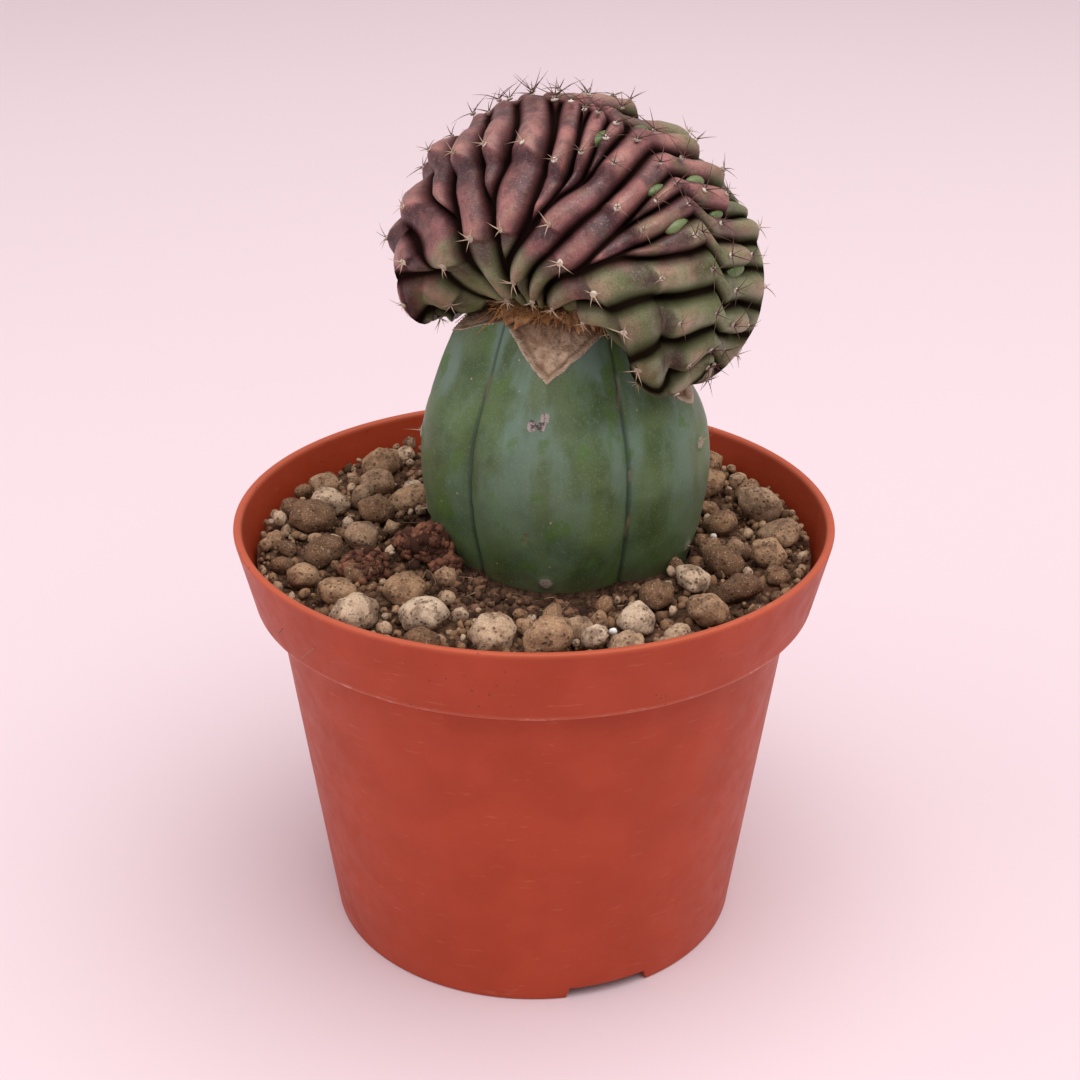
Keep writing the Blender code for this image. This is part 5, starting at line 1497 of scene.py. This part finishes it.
def crest_finish():
    """Cactus skin: rose and purple with a painted shadow under every areole and a painted highlight
    above it, green towards the base, the right and the back, painted shade on the ribs' flanks going
    near black in the grooves, finely dotted, with one rusty scar."""
    f = Finish("crest_skin", Roughness=0.45, Specular_IOR_Level=0.45)
    rose = f.patches((0.175, 0.056, 0.056), (0.375, 0.140, 0.132), 5 * MM, 0.35, 0.65, detail=4)
    rose = f.patches(rose, (0.25, 0.14, 0.085), 2.2 * MM, 0.5, 0.72, 0.5, detail=4)
    purple = (0.080, 0.030, 0.036)
    rose = f.patches(rose, purple, 3.4 * MM, 0.47, 0.63, 0.8, detail=6, rough=0.65)
    green = f.patches((0.100, 0.122, 0.038), (0.205, 0.238, 0.110), 4 * MM, 0.35, 0.65, detail=4)
    down = f.value("down")
    place = f.value("place")
    face = f.value("face")
    groove = f.value("groove")
    base = f.span(down, 0.42, 0.85, 0, 0.95)
    right = f.span(place, 0.30, 0.85, 0, 1.05)
    behind = f.times(f.span(face, -1, 1, 0.9, 0), f.span(down, 0.0, 0.3, 0.3, 1))
    amount = f.math("MAXIMUM", f.math("MAXIMUM", base, right), behind)
    amount = f.span(f.plus(amount, f.wander(1.6, 6 * MM, detail=4)), 0.25, 0.85)
    colour = f.mix(amount, rose, green)
    ragged = f.span(f.noise(1.6 * MM, detail=5), 0.25, 0.6, 0.45, 1)
    shade = f.mix(amount, (0.042, 0.015, 0.020), (0.070, 0.040, 0.034))
    # Painted shadow under each tubercle's chin, just below its areole.
    colour = f.stain(colour, shade, f.times(f.value("chin_shadow"), ragged), 0.9)
    ragged = f.span(f.noise(1.2 * MM, detail=4), 0.3, 0.65, 0.3, 1)
    # Painted highlight along the rib's middle, just above each areole.
    colour = f.stain(colour, (0.47, 0.25, 0.20), f.times(f.value("areole_highlight"), ragged), 0.6)
    dots = f.noise(0.24 * MM, detail=2, rough=0.6)
    colour = f.mix(f.span(dots, 0.55, 0.72, 0, 0.45), colour, (0.42, 0.24, 0.20))
    colour = f.mix(f.span(dots, 0.45, 0.28, 0, 0.5), colour, (0.035, 0.014, 0.014))
    # Painted shade: the ribs darken down their flanks and go near black in the grooves.
    flank_shade = f.span(f.plus(groove, f.wander(0.2, 2 * MM)), 0.02, 0.34, 0, 0.72)
    colour = f.mix(flank_shade, colour, f.mix(amount, (0.050, 0.018, 0.020), (0.050, 0.056, 0.026)))
    colour = f.mix(f.span(groove, 0.22, 0.7, 0, 0.97), colour, (0.008, 0.004, 0.003))
    across = f.math("DIVIDE", f.math("SUBTRACT", place, SPOT_PLACE[0]), SPOT_SIZE)
    below = f.math("DIVIDE", f.math("SUBTRACT", down, SPOT_PLACE[1]), SPOT_SIZE)
    away = f.plus(f.times(across, across), f.times(below, below))
    away = f.plus(away, f.times(f.span(face, 0.5, 1, 1, 0), 9))
    away = f.plus(away, f.noise(0.8 * MM, detail=3))
    f.set("Base Color", f.mix(f.span(away, 0.6, 1.5, 0.85, 0), colour, (0.36, 0.15, 0.03)))
    shiny = f.times(f.span(groove, 0.05, 0.5, 1, 0), 0.5)
    f.set("Specular IOR Level", shiny)
    dull = f.span(f.noise(1.5 * MM, detail=4), 0.3, 0.7, 0.9, 1.0)
    f.set("Roughness", f.math("SUBTRACT", dull, shiny))
    skin = f.bump(dots, 0.03 * MM, 0.5)
    f.set("Normal", f.bump(f.noise(1.1 * MM, detail=5), 0.12 * MM, 0.6, under=skin))
    return f


def areole_table():
    """Every areole of both faces: middle, direction out, direction down the rib, and its age."""
    middles, outs, downs, ages = [], [], [], []
    for side, ribs in ((1, FRONT_RIBS), (-1, back_ribs())):
        rows = []
        for i, (_, reach, first) in enumerate(ribs):
            spots = [0.035] + [first + AREOLE_STEP * k for k in range(3)]
            rows += [(i, spot) for spot in spots if spot < min(reach - 0.1, 0.97)]
        index = np.array([row[0] for row in rows])
        spot = np.array([row[1] for row in rows])
        edges, _ = rib_edges(ribs, spot)
        order = np.arange(len(spot))
        place = (edges[order, index] + edges[order, index + 1]) / 2
        middle = crest_body(place, spot, side)
        middles.append(middle)
        outs.append(crest_normal(place, spot, side))
        downs.append(unit(crest_body(place, spot + SURFACE_STEP, side) - middle))
        ages.append(np.clip(spot * 1.6 + 0.05, 0, 1))
    return tuple(np.concatenate(group) for group in (middles, outs, downs, ages))


def off_the_stock(middles, margin):
    """Which places on the crest are clear of the stock's upper surface by a margin."""
    away, angle = round_the_stock(middles)
    over = middles[:, 2] - stock_top_height(away, angle)
    return (over > margin) | (away > np.interp(STOCK_WIDEST, *STOCK_PROFILE.T))


def make_felt(middles, outs, downs):
    """A small oval cushion of felt on each areole: a flattened ball with soft lumps."""
    rng = np.random.default_rng(93)
    points, faces = ball(2)
    count = len(middles)
    frames = np.stack((np.cross(downs, outs), downs, outs), axis=2)
    size = rng.uniform(*FELT_SIZES, (count, 1, 1)) * MM
    uneven = 0.2 * lumps(points + rng.uniform(0, 9, (count, 1, 3)), 0.6, 94)
    shapes = points * FELT_SHAPE * size * (1 + uneven)[..., None]
    shapes = np.einsum("nij,nkj->nki", frames, shapes) + middles[:, None]
    return scatter("areole_felt", shapes, faces, {"tint": rng.random(count)})


def make_spines(middles, outs, downs, ages):
    """Four or five spines on each areole, spread evenly round it and bent back a little."""
    rng = np.random.default_rng(95)
    count = len(middles)
    size = (count, SPINES_EACH)
    across = np.cross(outs, downs)
    turn = 2 * np.pi * (np.arange(SPINES_EACH) + rng.uniform(-0.25, 0.25, size)) / SPINES_EACH
    turn = turn + rng.uniform(0, 6.3, (count, 1))
    lean = np.radians(rng.uniform(*SPINE_LEAN, size))[..., None]
    flat = across[:, None] * np.cos(turn)[..., None] + downs[:, None] * np.sin(turn)[..., None]
    heads = outs[:, None] * np.cos(lean) + flat * np.sin(lean)
    bend = -0.16 * outs[:, None] + 0.07 * rng.normal(size=heads.shape)
    lengths = rng.uniform(*SPINE_LENGTHS, size) * MM
    lengths = lengths * (1 - 0.45 * smoothstep(ages * 2.5))[:, None]
    radii = rng.uniform(*SPINE_RADII, size) * MM
    roots = np.repeat(middles + 0.1 * MM * outs, SPINES_EACH, axis=0)
    shapes, faces, along = bent_needles(
        roots, heads.reshape(-1, 3), lengths.ravel(), radii.ravel(), bend.reshape(-1, 3), 5, 6, 0.1,
    )
    keep = rng.random(len(roots)) < SPINES_KEPT
    age = np.repeat(ages, SPINES_EACH)
    return scatter("crest_spines", shapes[keep], faces, {"along": along[keep], "age": age[keep]})


def make_young():
    """Young tubercles that push up by the growing line: small smooth eggs, half sunk in the
    grooves between the ribs' upper ends."""
    rng = np.random.default_rng(97)
    points, faces = ball(3)
    shapes = []
    for side, ribs, grooves in ((1, FRONT_RIBS, YOUNG_IN_FRONT), (-1, back_ribs(), YOUNG_BEHIND)):
        down = rng.uniform(0.05, 0.09, len(grooves))
        edges, _ = rib_edges(ribs, down)
        place = edges[np.arange(len(grooves)), np.array(grooves)]
        out = crest_normal(place, down, side)
        middle = crest_body(place, down, side)
        below = unit(crest_body(place, down + 0.02, side) - middle)
        frame = np.stack((np.cross(below, out), below, out), axis=2)
        size = rng.uniform(*YOUNG_SIZES, (len(grooves), 1, 1)) * MM
        turned = np.einsum("nij,nkj->nki", frame, points * YOUNG_SHAPE * size)
        shapes.append(turned + (middle - YOUNG_SINK * out)[:, None])
    shapes = np.concatenate(shapes)
    return scatter("young_tubercles", shapes, faces, {"tint": rng.random(len(shapes))})


def young_finish():
    """Tender skin: fresh green, a few tubercles already tinged with rose."""
    f = Finish("young_skin", Roughness=0.4, Specular_IOR_Level=0.5)
    shade = f.plus(f.value("tint"), f.wander(0.5, 1.5 * MM))
    colour = f.mix(f.span(shade, 0.0, 0.7), (0.085, 0.140, 0.038), (0.160, 0.215, 0.085))
    colour = f.mix(f.span(shade, 0.7, 0.95, 0, 0.7), colour, (0.28, 0.13, 0.10))
    colour = f.patches(colour, (0.42, 0.42, 0.25), 0.24 * MM, 0.55, 0.72, 0.3, detail=2, rough=0.6)
    f.set("Base Color", colour)
    return f


crest = crest_finish().on(make_crest())
young = young_finish().on(make_young())
areoles = areole_table()
clear = off_the_stock(areoles[0], 1.5 * MM)
middles, outs, downs, ages = (column[clear] for column in areoles)
wool = crumb_finish("areole_felt", (0.34, 0.27, 0.22), (0.72, 0.64, 0.56))
felt = wool.on(make_felt(middles, outs, downs))
spines = spine_horn.on(make_spines(middles, outs, downs, ages))
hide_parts("crest")
for piece in (crest, young, felt, spines):
    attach(piece, "root")

# Studio: a plain pale floor, a large soft light nearly overhead, a little to the right and in
# front, a weak one from the left, and a camera in front that looks down on the plant.

CAMERA_PLACE = (0.84 * MM, -250.44 * MM, 178.13 * MM)
CAMERA_TILT = math.radians(64.385)
CAMERA_ROLL = math.radians(0.215)
CAMERA_LENS = 64.65                            # mm, on a sensor 36 mm wide
LIGHTS = (                                     # name, place, size across, watts, colour
    ("key_light", (0.24, -0.22, 1.2), 1.7, 16.4, (1.0, 0.975, 0.95)),
    ("fill_light", (-1.0, -0.35, 0.8), 1.4, 3.6, (0.97, 0.96, 1.0)),
)
LIT_POINT = (0, 0, 70 * MM)
SURROUNDING_COLOUR = (1.0, 0.94, 0.95, 1.0)
SURROUNDING_STRENGTH = 0.54
FLOOR_HALF = 6.0                               # metres

floor_mesh = bpy.data.meshes.new("floor")
floor_corners = [(x * FLOOR_HALF, y * FLOOR_HALF, 0) for x, y in ((-1, -1), (1, -1), (1, 1), (-1, 1))]
floor_mesh.from_pydata(floor_corners, [], [(0, 1, 2, 3)])
floor = bpy.data.objects.new("floor", floor_mesh)
bpy.context.scene.collection.objects.link(floor)
paper = Finish("pale_paper", Roughness=0.85, Specular_IOR_Level=0.2)
pale, paler = (0.76, 0.622, 0.667), (0.79, 0.652, 0.702)
paper.set("Base Color", paper.mix(paper.noise(0.4, detail=1), pale, paler))
paper.on(floor)


def pointing_along(direction):
    """Rotation that points an object's own -Z along a direction."""
    back = -unit(direction)
    side = unit(np.cross((0, 0, 1), back))
    return Matrix(np.stack((side, np.cross(back, side), back), axis=1).tolist())


for name, place, size, power, colour in LIGHTS:
    light = bpy.data.lights.new(name, "AREA")
    light.shape = "DISK"
    light.size = size
    light.energy = power
    light.color = colour
    softbox = bpy.data.objects.new(name, light)
    aim = np.array(LIT_POINT) - place
    softbox.matrix_world = Matrix.Translation(place) @ pointing_along(aim).to_4x4()
    bpy.context.scene.collection.objects.link(softbox)

world = bpy.data.worlds.new("studio")
world.use_nodes = True
backdrop = world.node_tree.nodes["Background"]
backdrop.inputs["Color"].default_value = SURROUNDING_COLOUR
backdrop.inputs["Strength"].default_value = SURROUNDING_STRENGTH
bpy.context.scene.world = world
bpy.context.scene.view_settings.view_transform = "Standard"

camera_data = bpy.data.cameras.new("camera")
camera_data.lens = CAMERA_LENS
camera_data.sensor_width = 36.0
camera_data.clip_start = 0.01
camera = bpy.data.objects.new("camera", camera_data)
camera.matrix_world = (
    Matrix.Translation(CAMERA_PLACE)
    @ Matrix.Rotation(CAMERA_TILT, 4, "X")
    @ Matrix.Rotation(CAMERA_ROLL, 4, "Z")
)
bpy.context.scene.collection.objects.link(camera)
bpy.context.scene.camera = camera
